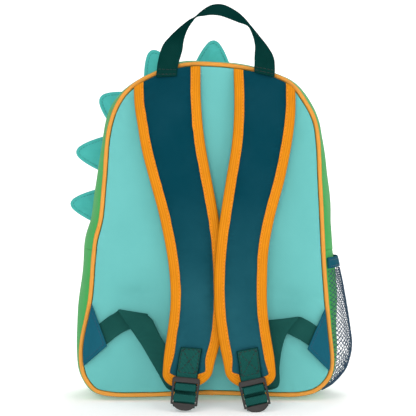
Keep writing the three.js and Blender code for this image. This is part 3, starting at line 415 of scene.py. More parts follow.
orange_thread = sewing_thread("orange_thread", linear(232, 138, 10), linear(168, 88, 4))
dark_thread = sewing_thread("dark_thread", linear(3, 22, 20), linear(1, 10, 9))
green_thread = sewing_thread("green_thread", linear(38, 128, 62), linear(22, 88, 40))
teal_thread = sewing_thread("teal_thread", linear(42, 136, 130), linear(26, 104, 98))
navy_thread = sewing_thread("navy_thread", linear(20, 66, 92), linear(10, 40, 62))
net_thread = sewing_thread("net_thread", NET_NAVY, linear(14, 34, 54))
buckle_plastic = moulded_plastic("charcoal_plastic", linear(31, 28, 27), linear(54, 50, 48))
zip_plastic = moulded_plastic("zip_plastic", linear(24, 92, 54), linear(60, 140, 90))
print("materials:", len(bpy.data.materials))

# %% [markdown]
# ## Curves and surfaces
#
# Nearly every piece is a surface swept along a curve: the side wall along the seam, the binding round a
# strap, the webbing along its path. So a few helpers do most of the work. One runs a smooth curve through
# the rows of a short table, one turns rows of points into a closed mesh with the cloth's directions as
# its UV map, and one gives gentle waves with a fixed seed for puckers and creases.

# %% Smooth curves through a few points


def between(t, first, start, last, end):
    """A smooth way from one value to another that leaves and arrives with given slopes."""
    return (
        (2 * t**3 - 3 * t**2 + 1) * first + (t**3 - 2 * t**2 + t) * start
        + (3 * t**2 - 2 * t**3) * last + (t**3 - t**2) * end
    )


def run_along(points):
    """How far along a row of points each one lies."""
    return np.concatenate([[0], np.cumsum(np.linalg.norm(np.diff(points, axis=0), axis=1))])


def curve_through(points, closed=False, centripetal=True, fine=40):
    """A smooth curve through points: many points, evenly many in each span."""
    points = np.asarray(points, float)
    count = len(points)
    spans = count if closed else count - 1
    t = np.linspace(0, 1, fine, endpoint=False)[:, None]
    pieces = []
    for i in range(spans):
        if closed:
            a, b, c, d = (points[(i + k) % count] for k in (-1, 0, 1, 2))
        else:
            b, c = points[i], points[i + 1]
            a = points[i - 1] if i > 0 else 2 * b - c
            d = points[i + 2] if i + 2 < count else 2 * c - b
        if centripetal:
            before, here, after = (
                max(np.linalg.norm(q - p) ** 0.5, 1e-6) for p, q in ((a, b), (b, c), (c, d))
            )
            start = ((b - a) / before - (c - a) / (before + here) + (c - b) / here) * here
            end = ((c - b) / here - (d - b) / (here + after) + (d - c) / after) * here
        else:
            start, end = (c - a) / 2, (d - b) / 2
        pieces.append(between(t, b, start, c, end))
    if not closed:
        pieces.append(points[-1:])
    return np.concatenate(pieces)


class Line:
    """A curve that is read by the share of its length."""

    def __init__(self, dense, closed=False):
        self.closed = closed
        self.dense = np.vstack([dense, dense[:1]]) if closed else dense
        self.run = run_along(self.dense)
        self.length = self.run[-1]

    def point(self, share):
        share = np.asarray(share, float)
        distance = (share % 1 if self.closed else np.clip(share, 0, 1)) * self.length
        return np.stack([np.interp(distance, self.run, self.dense[:, k]) for k in range(3)], -1)

    def heading(self, share, step=0.0006):
        ahead = self.point(np.asarray(share) + step)
        behind = self.point(np.asarray(share) - step)
        return unit(ahead - behind)


def unit(v):
    return v / np.maximum(np.linalg.norm(v, axis=-1, keepdims=True), 1e-12)


def look_up(rows, key, column, at):
    """A column of a table at a place in its key column, along a smooth curve through the rows."""
    keys = np.array([row[key] for row in rows], float)
    values = np.array([row[column] for row in rows], float)
    at = np.clip(np.asarray(at, float), keys[0], keys[-1])
    slopes = np.empty_like(values)
    slopes[1:-1] = (values[2:] - values[:-2]) / (keys[2:] - keys[:-2])
    slopes[0] = (values[1] - values[0]) / (keys[1] - keys[0])
    slopes[-1] = (values[-1] - values[-2]) / (keys[-1] - keys[-2])
    i = np.clip(np.searchsorted(keys, at, side="right") - 1, 0, len(keys) - 2)
    step = keys[i + 1] - keys[i]
    t = (at - keys[i]) / step
    return between(t, values[i], slopes[i] * step, values[i + 1], slopes[i + 1] * step)


def smooth(x, low, high):
    """0 up to low, 1 from high on and a smooth way between."""
    t = np.clip((np.asarray(x, float) - low) / (high - low), 0, 1)
    return t * t * (3 - 2 * t)


def waves(x, y, length, seed, count=6):
    """Gentle unrepeating waves between about -1 and 1, some length apart."""
    dice = np.random.default_rng(seed)
    total = np.zeros(np.broadcast(x, y).shape)
    for _ in range(count):
        angle = dice.uniform(0, 2 * math.pi)
        pitch = length * dice.uniform(0.7, 1.5)
        phase = dice.uniform(0, 2 * math.pi)
        total += np.sin((x * math.cos(angle) + y * math.sin(angle)) * 2 * math.pi / pitch + phase)
    return total / math.sqrt(count) / 1.2


def bell(x, width):
    """1 where x is zero, dying away over a width to both sides."""
    return np.exp(-((x / width) ** 2))


# %% Every kind of crease and pucker
# Pitch is how far apart the waves are and height how high they stand, both in millimetres. Only the
# heights of the piping's swell and lump and of the webbing's edge are shares of the thing's own size.
CREASES = table(
    "name pitch height seed",
    ("wall pucker", 9, 0.45, 11),
    ("wall hollow", 60, 1.0, 12),
    ("wall fold", 24, 0.3, 13),
    ("panel pucker", 13, 0.55, 21),
    ("panel hollow", 70, 0.9, 22),
    ("front pucker", 12, 0.5, 31),
    ("front hollow", 80, 1.6, 32),
    ("piping swell", 17, 0.035, 41),
    ("piping lump", 5, 0.02, 42),
    ("plate pucker", 7, 0.22, 0),
    ("plate hollow", 26, 0.5, 1),
    ("hem sway", 18, 0.14, 0),
    ("hem shake", 6, 0.05, 1),
    ("binding gather", 8, 0.22, 2),
    ("pad pucker", 8, 0.45, 0),
    ("pad crease", 11, 0.3, 1),
    ("pad hollow", 38, 0.35, 2),
    ("webbing edge", 9, 0.006, 0),
    ("webbing ripple", 17, 0.1, 1),
    ("tab ripple", 14, 0.3, 0),
    ("band gather", 5.5, 0.35, 171),
    ("band sway", 12, 0.2, 172),
    ("net wobble", 6, 0.12, 181),
)
CREASE = {row["name"]: row for row in CREASES}


def relief(name, x, y, seed=0):
    """How high one kind of crease stands at some places; a piece's own seed is added to the table's."""
    row = CREASE[name]
    return waves(x, y, row["pitch"], row["seed"] + seed) * row["height"]


# %% From rows of points to a closed mesh


def make_piece(name, points, faces, uv, material, sharp=40):
    """An object of the scene from points in millimetres, with its cloth map and its finish."""
    points = np.asarray(points, float)
    mesh = bpy.data.meshes.new(name)
    mesh.from_pydata((points * MM).tolist(), [], faces)
    mesh.validate()
    corners = np.zeros(len(mesh.loops), int)
    mesh.loops.foreach_get("vertex_index", corners)
    layer = mesh.uv_layers.new(name="cloth")
    layer.data.foreach_set("uv", np.asarray(uv, np.float32)[corners].ravel())
    sculpt = bmesh.new()
    sculpt.from_mesh(mesh)
    bmesh.ops.recalc_face_normals(sculpt, faces=sculpt.faces)
    if sculpt.calc_volume(signed=True) < 0:
        bmesh.ops.reverse_faces(sculpt, faces=sculpt.faces)
    sculpt.to_mesh(mesh)
    sculpt.free()
    mesh.shade_smooth()
    mesh.set_sharp_from_angle(angle=math.radians(sharp))
    mesh.materials.append(material)
    return add_object(name, mesh)


def sweep(name, rings, material, joined=False, uv=None, sharp=40):
    """A closed mesh through closed rings of points; joined ties the last ring to the first."""
    rings = np.asarray(rings, float)
    count, around = rings.shape[:2]
    i, k = np.meshgrid(np.arange(count if joined else count - 1), np.arange(around), indexing="ij")
    a = i * around + k
    b = i * around + (k + 1) % around
    c = (i + 1) % count * around + (k + 1) % around
    d = (i + 1) % count * around + k
    faces = np.stack([a, b, c, d], -1).reshape(-1, 4).tolist()
    if not joined:
        faces.append(list(range(around))[::-1])
        faces.append([(count - 1) * around + k for k in range(around)])
    if uv is None:
        middles = rings.mean(axis=1)
        along = run_along(middles)
        middle = rings[count // 2]
        across = run_along(middle)
        uv = np.stack(np.meshgrid(along, across, indexing="ij"), -1)
    return make_piece(name, rings.reshape(-1, 3), faces, np.asarray(uv).reshape(-1, 2), material, sharp)


def disc(name, heart, flat, near, far, material, sharp=40):
    """A closed sheet: rings of points from its heart outwards, and the y of its two faces there."""
    rings, around = flat.shape[:2]
    layers = []
    for y in (near, far):
        sheet = flat.copy()
        sheet[..., 1] = y
        middle = [[heart[0], y[0].mean(), heart[2]]]
        layers.append(np.vstack([middle, sheet.reshape(-1, 3)]))
    size = len(layers[0])
    turn = [(k, (k + 1) % around) for k in range(around)]
    faces = []
    for base in (0, size):
        faces += [(base, base + 1 + k, base + 1 + after) for k, after in turn]
        for j in range(rings - 1):
            a, b = base + 1 + j * around, base + 1 + (j + 1) * around
            faces += [(a + k, b + k, b + after, a + after) for k, after in turn]
    last = 1 + (rings - 1) * around
    faces += [(last + k, last + after, size + last + after, size + last + k) for k, after in turn]
    points = np.vstack(layers)
    return make_piece(name, points, faces, points[:, [0, 2]], material, sharp)


def dress(piece, slot, *nodes, padded=None):
    """A finished piece stands for its solids, hides them and rides with them; its slot is not used."""
    if nodes:
        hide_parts(*nodes)
    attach(piece, "root")
    print(piece.name, "faces", len(piece.data.polygons))
    return piece

# %% [markdown]
# ## The body
#
# A backpack's body is two panels and a long strip between them, the gusset, sewn along one seam line. So
# the seam is the first thing to draw: a closed curve through a short table of shares of the bag's width
# and height. Every point of the side wall is then found from two numbers, u along the seam and v from the
# back seam to the front seam, and the wall swells between its seams as stuffed cloth does.

# %% The seam line
BAG_WIDTH = 242.0
BAG_HEIGHT = 319.0
BAG_DEPTH = 84.0
BASE_LIFT = 6.0
HALF_WIDTH = BAG_WIDTH / 2
BACK_Y = -BAG_DEPTH / 2
FRONT_Y = BAG_DEPTH / 2
PIPING_RADIUS = 2.2
GAP = 0.3
SEAM_INSET = PIPING_RADIUS + GAP
SEAM_TABLE = table(
    "x z",
    (0.0, 0.006),
    (0.46, 0.001),
    (0.735, 0.0015),
    (0.858, 0.0135),
    (0.949, 0.044),
    (0.983, 0.074),
    (0.99, 0.104),
    (0.968, 0.195),
    (0.946, 0.286),
    (0.923, 0.407),
    (0.909, 0.527),
    (0.893, 0.649),
    (0.878, 0.77),
    (0.85, 0.83),
    (0.784, 0.88),
    (0.674, 0.936),
    (0.555, 0.9615),
    (0.353, 0.984),
    (0.088, 0.998),
    (-0.185, 0.9975),
    (-0.422, 0.97),
    (-0.614, 0.9285),
    (-0.717, 0.88),
    (-0.789, 0.8),
    (-0.826, 0.649),
    (-0.857, 0.527),
    (-0.8975, 0.467),
    (-0.915, 0.407),
    (-0.941, 0.286),
    (-1.005, 0.165),
    (-1.013, 0.12),
    (-1.001, 0.074),
    (-0.969, 0.044),
    (-0.8975, 0.0135),
    (-0.78, 0.0015),
    (-0.46, 0.0),
)

seam_rows = [(row["x"] * HALF_WIDTH, 0, BASE_LIFT + row["z"] * BAG_HEIGHT) for row in SEAM_TABLE]
seam = Line(curve_through(seam_rows, closed=True), closed=True)


def seam_outward(u):
    """The direction square to the seam, away from the bag, in the plane of the panel."""
    along = seam.heading(u)
    return unit(np.stack([along[..., 2], np.zeros_like(along[..., 0]), -along[..., 0]], -1))


def find_seam(start, end, axis, value):
    """The place on the seam, between two others, that comes nearest to a coordinate."""
    tries = np.linspace(start, end, 4000)
    return tries[np.argmin(np.abs(seam.point(tries)[:, axis] - value))]


def right_at(z):
    return find_seam(0.08, 0.44, 2, z)


def left_at(z):
    return find_seam(0.56, 0.92, 2, z)


def top_at(x):
    return find_seam(0.3, 0.7, 0, x)


print("seam", round(seam.length), "mm round")

# %% The side wall's swelling
GUSSET_WALL = 2.0
GUSSET_BULGE = 13.0
CREASE_LIMIT = 1.2  # how far a crease may rise off the wall
FLOOR_FADE = (0.5, 6)  # heights between which the wall's creases die away towards the floor
FLOOR_CORNERS = (0.125, 0.885)  # the seam's two lower corners, as shares of its length
FLOOR_CORNER_REACH = 0.03
SEAM_FADE = 14  # how fast the puckers die away from a seam
WALL_STEPS = 300
BULGE_TABLE = table(
    "z share",
    (0.0, 0.62),
    (0.06, 0.64),
    (0.155, 0.74),
    (0.28, 1.12),
    (0.43, 1.06),
    (0.59, 1.02),
    (0.75, 0.7),
    (0.85, 0.65),
    (1.0, 0.55),
)


def swelling(v):
    """The share of a swelling between two seams, at 0 and 1: none at the seams and full in the middle."""
    return np.sin(math.pi * np.clip(v, 0, 1)) ** 0.6


def wall_point(u, v, lift=0.0):
    """A point of the side wall, lifted off it by some millimetres."""
    u, v, lift = np.broadcast_arrays(np.asarray(u, float), np.asarray(v, float), np.asarray(lift, float))
    point = seam.point(u)
    height = (point[..., 2] - BASE_LIFT) / BAG_HEIGHT
    swell = GUSSET_BULGE * look_up(BULGE_TABLE, "z", "share", height)
    swell = swell * swelling(v)
    point = point + seam_outward(u) * (swell + lift)[..., None]
    point[..., 2] = np.maximum(point[..., 2], np.maximum(-lift, 0))
    point[..., 1] = BACK_Y + SEAM_INSET + v * (BAG_DEPTH - SEAM_INSET)
    return point


def wall_creases(u, v):
    """How far the wall's cloth rises: puckers at both seams and slow hollows between, none at the floor."""
    run = u * seam.length
    depth = v * BAG_DEPTH
    edge = np.exp(-v * SEAM_FADE) + np.exp(-(1 - v) * SEAM_FADE)
    puckers = relief("wall pucker", run, depth * 0.4) * edge
    slow = relief("wall hollow", run, depth) * np.sin(math.pi * v)
    folds = relief("wall fold", run * 0.5, depth) * np.sin(math.pi * v)
    corner = sum(bell((u % 1) - place, FLOOR_CORNER_REACH) for place in FLOOR_CORNERS)
    crease = np.minimum(puckers + slow + folds * (1 + 2.5 * corner), CREASE_LIMIT)
    return crease * smooth(wall_point(u, v)[..., 2], *FLOOR_FADE)


def wall_strip(name, start, end, low, high, columns):
    """A strip of the side wall between two places along the seam and two across it, its hems turned in."""
    u = np.linspace(start, end, WALL_STEPS + 1)
    v = np.linspace(low, high, columns + 1)
    uu, vv = np.meshgrid(u, v, indexing="ij")
    crease = wall_creases(uu, vv)
    outer = wall_point(uu, vv, crease)
    inner = wall_point(uu, vv, -GUSSET_WALL + np.minimum(crease, 0) * 0.5)[:, ::-1]
    across = np.concatenate([v, v[::-1]]) * BAG_DEPTH
    uv = np.stack(np.meshgrid(u * seam.length, across, indexing="ij"), -1)
    return sweep(name, np.concatenate([outer, inner], axis=1), body_cloth, uv=uv)


ZIP_END_HEIGHT = 145.0
ZIP_PLACE = 0.7
ZIP_TAPE_WIDTH = 17.0
WALL_SPAN = BAG_DEPTH - SEAM_INSET
zip_right = right_at(ZIP_END_HEIGHT)
zip_left = left_at(ZIP_END_HEIGHT)
wall_gap = GAP / 2 / seam.length
zip_back = ZIP_PLACE - ZIP_TAPE_WIDTH / 2 / WALL_SPAN
zip_front = ZIP_PLACE + ZIP_TAPE_WIDTH / 2 / WALL_SPAN

WALL_TABLE = table(
    "name start end low high columns",
    ("side_wall_lower", zip_left + wall_gap, zip_right + 1 - wall_gap, 0, 1, 26),
    ("side_wall_back", zip_right + wall_gap, zip_left - wall_gap, 0, zip_back, 18),
    ("side_wall_front", zip_right + wall_gap, zip_left - wall_gap, zip_front, 1, 8),
)
for row, solid in zip(WALL_TABLE, ("gusset_lower", "zip_gusset_back", "zip_gusset_front")):
    dress(wall_strip(**row), "body_fabric", solid)

# %% [markdown]
# ## The two panels
#
# A panel is a closed sheet inside the seam line. It is drawn as rings that shrink towards the middle, and
# each ring stands further out, so that the panel is crowned. The back panel is foam between two cloths:
# it dips where the webbing pulls at the corners, and its edge puckers where the piping is sewn in.

# %% Crowned sheets
PANEL_CROWN = 8.0
PANEL_WALL = 4.0
PANEL_RIM = 1.5
FRONT_CROWN = 15.0
FRONT_WALL = 3.0
FRONT_SAG = dict(z=60, high=45, depth=1.5)
PUCKER_LEAN = 30  # millimetres of slant from the heart of a panel to its rim
HEART_HEIGHT = BASE_LIFT + BAG_HEIGHT * 0.48
DENT_TABLE = table(
    "x z radius depth",
    (-0.55, 0.29, 0.085, 0.7),
    (0.62, 0.29, 0.08, 0.55),
    (0.1, 0.62, 0.12, 0.2),
)


def panel(name, inset, face, wall, material, around=300, rings=46):
    """A crowned sheet: face tells how far out a point stands, from its place and its share of the way out."""
    u = np.arange(around) / around
    rim = seam.point(u) - seam_outward(u) * inset
    heart = np.array([0, 0, HEART_HEIGHT])
    share = (1 - (1 - np.linspace(0, 1, rings + 1)[1:]) ** 1.6)[:, None]
    flat = heart + share[..., None] * (rim - heart)
    near = face(flat[..., 0], flat[..., 2], share + 0 * u, u[None])
    return disc(name, heart, flat, near, near + wall, material)


# Where the folded webbing tugs the panel in, just above each fold, in millimetres.
TUG_TABLE = table(
    "x z wide high tug",
    (-70, 101, 24, 10, 3.4),
    (-56, 122, 12, 16, 1.2),
    (82, 97, 20, 11, 2.4),
    (-24, 20, 26, 7, 1.6),
    (8, 22, 16, 8, 1.4),
)


# Where the panel hangs a little slack, in long shallow creases.
SLACK_TABLE = table(
    "x z wide high share",
    (-62, 150, 26, 42, 1.0),
    (82, 170, 20, 50, 0.7),
)
# Creases at each lower corner: their middle, how far they reach, their pitch and their depth.
PULL = dict(x=92, near=74, z=62, wide=26, long=34, pitch=7.5, depth=0.55)


def spot(x, z, row):
    """A soft round spot, 1 in its middle."""
    return np.exp(-(((x - row["x"]) / row["wide"]) ** 2) - ((z - row["z"]) / row["high"]) ** 2)


def hollow(x, z, row):
    """A soft dent, as a share of its depth."""
    dx = x - row["x"] * HALF_WIDTH
    dz = z - (BASE_LIFT + row["z"] * BAG_HEIGHT)
    return np.exp(-(dx**2 + dz**2) / (row["radius"] * BAG_HEIGHT) ** 2)


def back_face(x, z, share, u):
    dents = sum(row["depth"] * hollow(x, z, row) for row in DENT_TABLE)
    puckers = relief("panel pucker", u * seam.length, share * PUCKER_LEAN) * smooth(share, 0.86, 0.99)
    slow = relief("panel hollow", x, z) * (1 - share**4)
    pull = slack(x, z) + pull_lines(x, z) + sum(row["tug"] * spot(x, z, row) for row in TUG_TABLE)
    crown = PANEL_CROWN * (1 - share**2.6) * (1 - dents)
    return BACK_Y - PANEL_RIM - crown + np.maximum(slow + puckers + pull, -0.5)


def pull_lines(x, z):
    """Creases that run from each corner tab towards the strap's end, where the webbing tugs at the panel."""
    total = np.zeros_like(x)
    for side in (-1, 1):
        across = (z - PULL["z"]) * 0.75 + side * (x - side * PULL["x"]) * 0.62
        along = np.abs(x - side * PULL["near"])
        fade = bell(across, PULL["wide"]) * bell(along, PULL["long"])
        total += np.sin(across / PULL["pitch"]) * PULL["depth"] * fade
    return total


def slack(x, z):
    """Long shallow creases beside both straps."""
    zone = sum(row["share"] * spot(x, z, row) for row in SLACK_TABLE)
    short_creases = np.sin((x * 0.55 + z * 0.83) / 4.6) * 0.32
    long_creases = np.sin((x * 0.35 + z * 0.94) / 8.5 + 1) * 0.4
    return zone * (short_creases + long_creases)


back_panel = panel("back_panel_cloth", SEAM_INSET + GAP, back_face, PANEL_WALL, panel_cloth)
dress(back_panel, "panel_fabric", "back_panel", padded=0.5)


def front_face(x, z, share, u):
    puckers = relief("front pucker", u * seam.length, share * PUCKER_LEAN) * smooth(share, 0.88, 0.99)
    slow = relief("front hollow", x, z) * (1 - share**3)
    sag = -FRONT_SAG["depth"] * bell(z - FRONT_SAG["z"], FRONT_SAG["high"]) * (1 - share**4)
    return FRONT_Y + GAP + FRONT_CROWN * (1 - share**3) + slow + puckers + sag


front_panel = panel("front_panel_cloth", GAP, front_face, FRONT_WALL, body_cloth)
dress(front_panel, "body_fabric", "front_panel")

# %% [markdown]
# ## The piping
#
# Piping is a thin cord in a folded tape, caught in the seam. It is a tube swept along the seam line. Its
# two ends overlap under the middle of the bag, so the tube swells and steps there, and it is never quite
# round.

# %% The piping round the back seam
PIPING_JOINT_X = 5.5
PIPING_JOINT_LENGTH = 5
PIPING_JOINT_SWELL = 0.22

share = np.arange(900) / 900
angle = np.linspace(0, 2 * math.pi, 17)[:-1]
middle = seam.point(share)
outward = seam_outward(share)
joint_share = find_seam(-0.03, 0.05, 0, PIPING_JOINT_X) % 1
from_joint = (share - joint_share + 0.5) % 1 - 0.5
swollen = 1 + PIPING_JOINT_SWELL * bell(from_joint * seam.length, PIPING_JOINT_LENGTH) * (from_joint < 0)
run = share * seam.length
uneven = 1 + relief("piping swell", run, 0) + relief("piping lump", run, 0)
radius = PIPING_RADIUS * 0.95 * swollen * uneven
rings = middle[:, None] + radius[:, None, None] * np.cos(angle)[None, :, None] * outward[:, None]
rings[..., 1] = BACK_Y + (radius[:, None] * np.sin(angle)[None])
back_piping = sweep("piping_cord", rings, piping_tape, joined=True)
dress(back_piping, "piping_tape", "back_piping")

# %% [markdown]
# ## The back plates
#
# Each plate is two triangles of cloth sewn together, turned out and lightly stuffed. A row of stitches
# runs about three millimetres inside the edge, so the rim stays flat and the middle swells behind a small
# groove.

# %% Stuffed plates along the front seam
STITCH_SINK = 0.35  # how deep a row of stitches pulls the cloth in, and how far to each side
STITCH_SINK_REACH = 0.7
SPIKE_PITCH = 50.0
SPIKE_BASE = 43.0
SPIKE_HEIGHT = 37.0
SPIKE_THICKNESS = 8.0
SPIKE_EDGE = 2.6
SPIKE_HEM = 3.4
SPIKE_MIDDLE_Y = FRONT_Y + GAP + 1.5
FIRST_SPIKE_X = 4.0
SPIKE_TABLE = table(
    "place height lean",
    (0, 1, 0),
    (1.02, 0.98, 0),
    (2.06, 0.82, 0),
    (3.0, 1.09, 0),
    (4.1, 1.14, 0),
)
SPIKE_SHAPE = table(
    "along up",
    (0.5, 0.0),
    (0.475, 0.14),
    (0.41, 0.38),
    (0.31, 0.62),
    (0.195, 0.84),
    (0.1, 0.96),
    (0.0, 1.0),
)
SPIKE_SHAPE += [dict(along=-part["along"], up=part["up"]) for part in SPIKE_SHAPE[-2::-1]]


def spike_rim(row, inset=0.0):
    """The outline of a plate, moved inwards by some millimetres on its free sides."""
    middle = top_at(FIRST_SPIKE_X) + row["place"] * SPIKE_PITCH / seam.length
    seat, out, along = seam.point(middle), seam_outward(middle), seam.heading(middle)
    height = SPIKE_HEIGHT * row["height"]
    half = SPIKE_BASE / 2 / seam.length
    free = []
    for part in SPIKE_SHAPE:
        placed = seat + along * part["along"] * SPIKE_BASE + out * part["up"] * height
        side = np.sign(part["along"])
        foot = seam.point(middle + side * half) + seam_outward(middle + side * half) * GAP
        blend = 1.0 if side == 0 else float(smooth(part["up"], 0, 0.5))
        free.append(foot * (1 - blend) + placed * blend)
    edge = Line(curve_through(free))
    share = np.linspace(0, 1, 90)
    rim = edge.point(share)
    heading = edge.heading(np.clip(share, 0.001, 0.999))
    inward = unit(np.stack([heading[:, 2], np.zeros(len(share)), -heading[:, 0]], -1))
    if np.dot(inward[45], seat - rim[45]) < 0:
        inward = -inward
    foot_share = np.linspace(-1, 1, 32)[1:-1]
    base = seam.point(middle + foot_share * half) + seam_outward(middle + foot_share * half) * GAP
    return np.vstack([rim + inward * inset, base]), seat + out * height * 0.36, len(rim)


def stuffed_plate(name, row, seed):
    rim, heart, free = spike_rim(row)
    shares = np.linspace(0, 1, 26)[1:] ** 0.8
    reach = np.linalg.norm(rim - heart, axis=1)
    flat = heart + shares[:, None, None] * (rim - heart)
    edge = (1 - shares)[:, None] * reach[None]
    fat = (SPIKE_THICKNESS - SPIKE_EDGE) / 2
    swell = fat * smooth(edge, SPIKE_HEM, SPIKE_HEM + 10) ** 0.75
    groove = STITCH_SINK * bell(edge - SPIKE_HEM, STITCH_SINK_REACH)
    rolled = SPIKE_EDGE / 2 * np.sqrt(np.clip(edge / 1.1, 0.04, 1))
    puckers = relief("plate pucker", flat[..., 0], flat[..., 2], seed)
    puckers = puckers * smooth(edge, 1, 4) * (1 - smooth(edge, 8, 14))
    slow = relief("plate hollow", flat[..., 0], flat[..., 2], seed) * smooth(edge, 3, 12)
    half = np.minimum(rolled + swell - groove + puckers + slow, (SPIKE_THICKNESS / 2) + 0.3)
    half = np.maximum(half, 0.25)
    half[edge < 0.02] = 0.25
    return disc(name, heart, flat, SPIKE_MIDDLE_Y - half, SPIKE_MIDDLE_Y + half, plate_cloth, sharp=60)


for number, row in enumerate(SPIKE_TABLE, start=1):
    plate = stuffed_plate(f"plate_{number}", row, 50 + 3 * number)
    dress(plate, "plate_fabric", f"spike_{number}", padded=0.7)

# %% [markdown]
# ## The shoulder straps
#
# A strap is foam between two cloths, cut in a gentle S. Its edges are bound: a tape is folded round them
# and sewn through, one row on each side. The tape pulls the foam thin, so the pad swells just inside it,
# with small puckers where the needle went. A strap's shape is a table of its middle, its width and how
# far it stands off the bag.

# %% The strap's shape
STRAP_WIDTH = 61.0
STRAP_END_HEIGHT = 19.0
STRAP_END_RISE = 16.0
CORNER_REACH = 9.0
CORNER_NARROWING = 0.3
STRAP_REACH = 48.0
STRAP_THICKNESS = 9.0
STRAP_EDGE = 3.4
BINDING_WIDTH = 10.2
BINDING_WALL = 1.0
BINDING_STITCH = BINDING_WIDTH - 1.8  # how far in from the edge the tape is sewn
WEBBING_WIDTH = 20.0
PATCH_LENGTH = 27.0
BUCKLE_TILT = dict(left=-7, right=14)
BUCKLE_LAP = dict(left=9.6, right=9.3)  # strap's end, below the buckle's top
STRAP_TABLES = {
    "left": table(
        "down centre width out",
        (0.0, -0.322, 1.045, 0.1),
        (0.05, -0.324, 1.05, 0.19),
        (0.09, -0.314, 1.013, 0.25),
        (0.156, -0.297, 0.982, 0.31),
        (0.221, -0.276, 0.962, 0.34),
        (0.286, -0.242, 0.929, 0.36),
        (0.35, -0.207, 0.911, 0.375),
        (0.4135, -0.169, 0.885, 0.385),
        (0.478, -0.138, 0.879, 0.395),
        (0.542, -0.112, 0.859, 0.41),
        (0.605, -0.094, 0.84, 0.425),
        (0.669, -0.084, 0.828, 0.45),
        (0.732, -0.082, 0.826, 0.485),
        (0.794, -0.093, 0.841, 0.54),
        (0.855, -0.112, 0.85, 0.64),
        (0.915, -0.143, 0.8, 0.79),
        (0.946, -0.163, 0.735, 0.865),
    ),
    "right": table(
        "down centre width out",
        (0.0, 0.447, 0.97, 0.1),
        (0.05, 0.449, 0.97, 0.19),
        (0.09, 0.448, 0.952, 0.26),
        (0.156, 0.436, 0.923, 0.34),
        (0.221, 0.418, 0.885, 0.4),
        (0.286, 0.391, 0.871, 0.46),
        (0.35, 0.358, 0.853, 0.51),
        (0.4135, 0.323, 0.813, 0.55),
        (0.478, 0.294, 0.798, 0.575),
        (0.542, 0.268, 0.79, 0.59),
        (0.605, 0.257, 0.8, 0.605),
        (0.669, 0.252, 0.81, 0.625),
        (0.732, 0.252, 0.806, 0.65),
        (0.794, 0.264, 0.814, 0.695),
        (0.855, 0.287, 0.81, 0.785),
        (0.915, 0.313, 0.8, 0.865),
        (0.946, 0.329, 0.75, 0.9),
    ),
}

STRAP_TUCK = -0.9  # how far above the solid the strap's top is set; below zero, the piping shows
STRAP_ARCH = 0.14  # the share of the way down over which the top's arch dies away
STRETCH = np.linspace(-0.045, 0.045, 7)  # the shares of the way over which its table is averaged
RIM_STEPS = 150
RIM_END_STEPS = 26
PAD_STEPS = 190
TOP_LINE = seam.point(np.linspace(0.7, 0.3, 600))
TOP_X, TOP_Z = TOP_LINE[:, 0], TOP_LINE[:, 2]


class Strap:
    """The middle surface of a strap: down is a share of its length, side runs from -1 to 1 across it."""

    def __init__(self, side):
        self.table = STRAP_TABLES[side]
        self.last = self.table[-1]["down"]
        first = self.table[0]
        half = first["width"] * STRAP_WIDTH / 2
        middle = first["centre"] * HALF_WIDTH
        self.top_left, self.top_right = (
            seam.point(top_at(middle + s * half))[2] - SEAM_INSET - GAP for s in (-1, 1)
        )

    def column(self, name, down):
        """A column of the table, averaged over a short stretch so that the edge runs without kinks."""
        down = np.asarray(down)
        return sum(look_up(self.table, "down", name, down + step) for step in STRETCH) / len(STRETCH)

    def edge(self, down, side):
        down = np.asarray(down, float)
        half = self.column("width", down) * STRAP_WIDTH / 2
        top = self.top_left if side < 0 else self.top_right
        x = self.column("centre", down) * HALF_WIDTH + side * half
        y = BACK_Y - self.column("out", down) * STRAP_REACH
        return np.stack([x, y, top - down * (top - STRAP_END_HEIGHT)], -1)

    def centre(self, down):
        return (self.edge(down, -1) + self.edge(down, 1)) / 2

    def arched(self, points, down):
        """Points near the strap's top, raised from a straight line to the curve of the seam."""
        left, right = self.edge(0, -1), self.edge(0, 1)
        share = np.clip((points[..., 0] - left[0]) / (right[0] - left[0]), 0, 1)
        chord = left[2] + (right[2] - left[2]) * share
        arch = np.interp(points[..., 0], TOP_X, TOP_Z) - SEAM_INSET - GAP - chord + STRAP_TUCK
        points = points.copy()
        points[..., 2] += arch * (1 - smooth(down, 0, STRAP_ARCH))
        return points

    def axes(self, down):
        """The directions down the strap, across it and out of its face."""
        low = np.minimum(down, self.last - 0.004)
        along = unit(self.centre(low + 0.004) - self.centre(low))
        across = unit(self.edge(low, 1) - self.edge(low, -1))
        out = unit(np.cross(across, along))
        return along, across, np.where(out[..., 1:2] > 0, -out, out)

    def puff(self, down):
        """How thick the strap is, as a share: it is pressed flat at the seam and thinner at its end."""
        return np.minimum(
            0.5 + 0.5 * smooth(down, 0, 0.09), 0.68 + 0.32 * smooth(1 - np.asarray(down), 0.03, 0.2)
        )

    def down_at(self, distance):
        """The share of the way down at a distance up the strap from where its rounded end begins."""
        shares = np.linspace(self.last, 0, 400)
        return np.interp(distance, run_along(self.centre(shares)), shares)


straps = {side: Strap(side) for side in STRAP_TABLES}


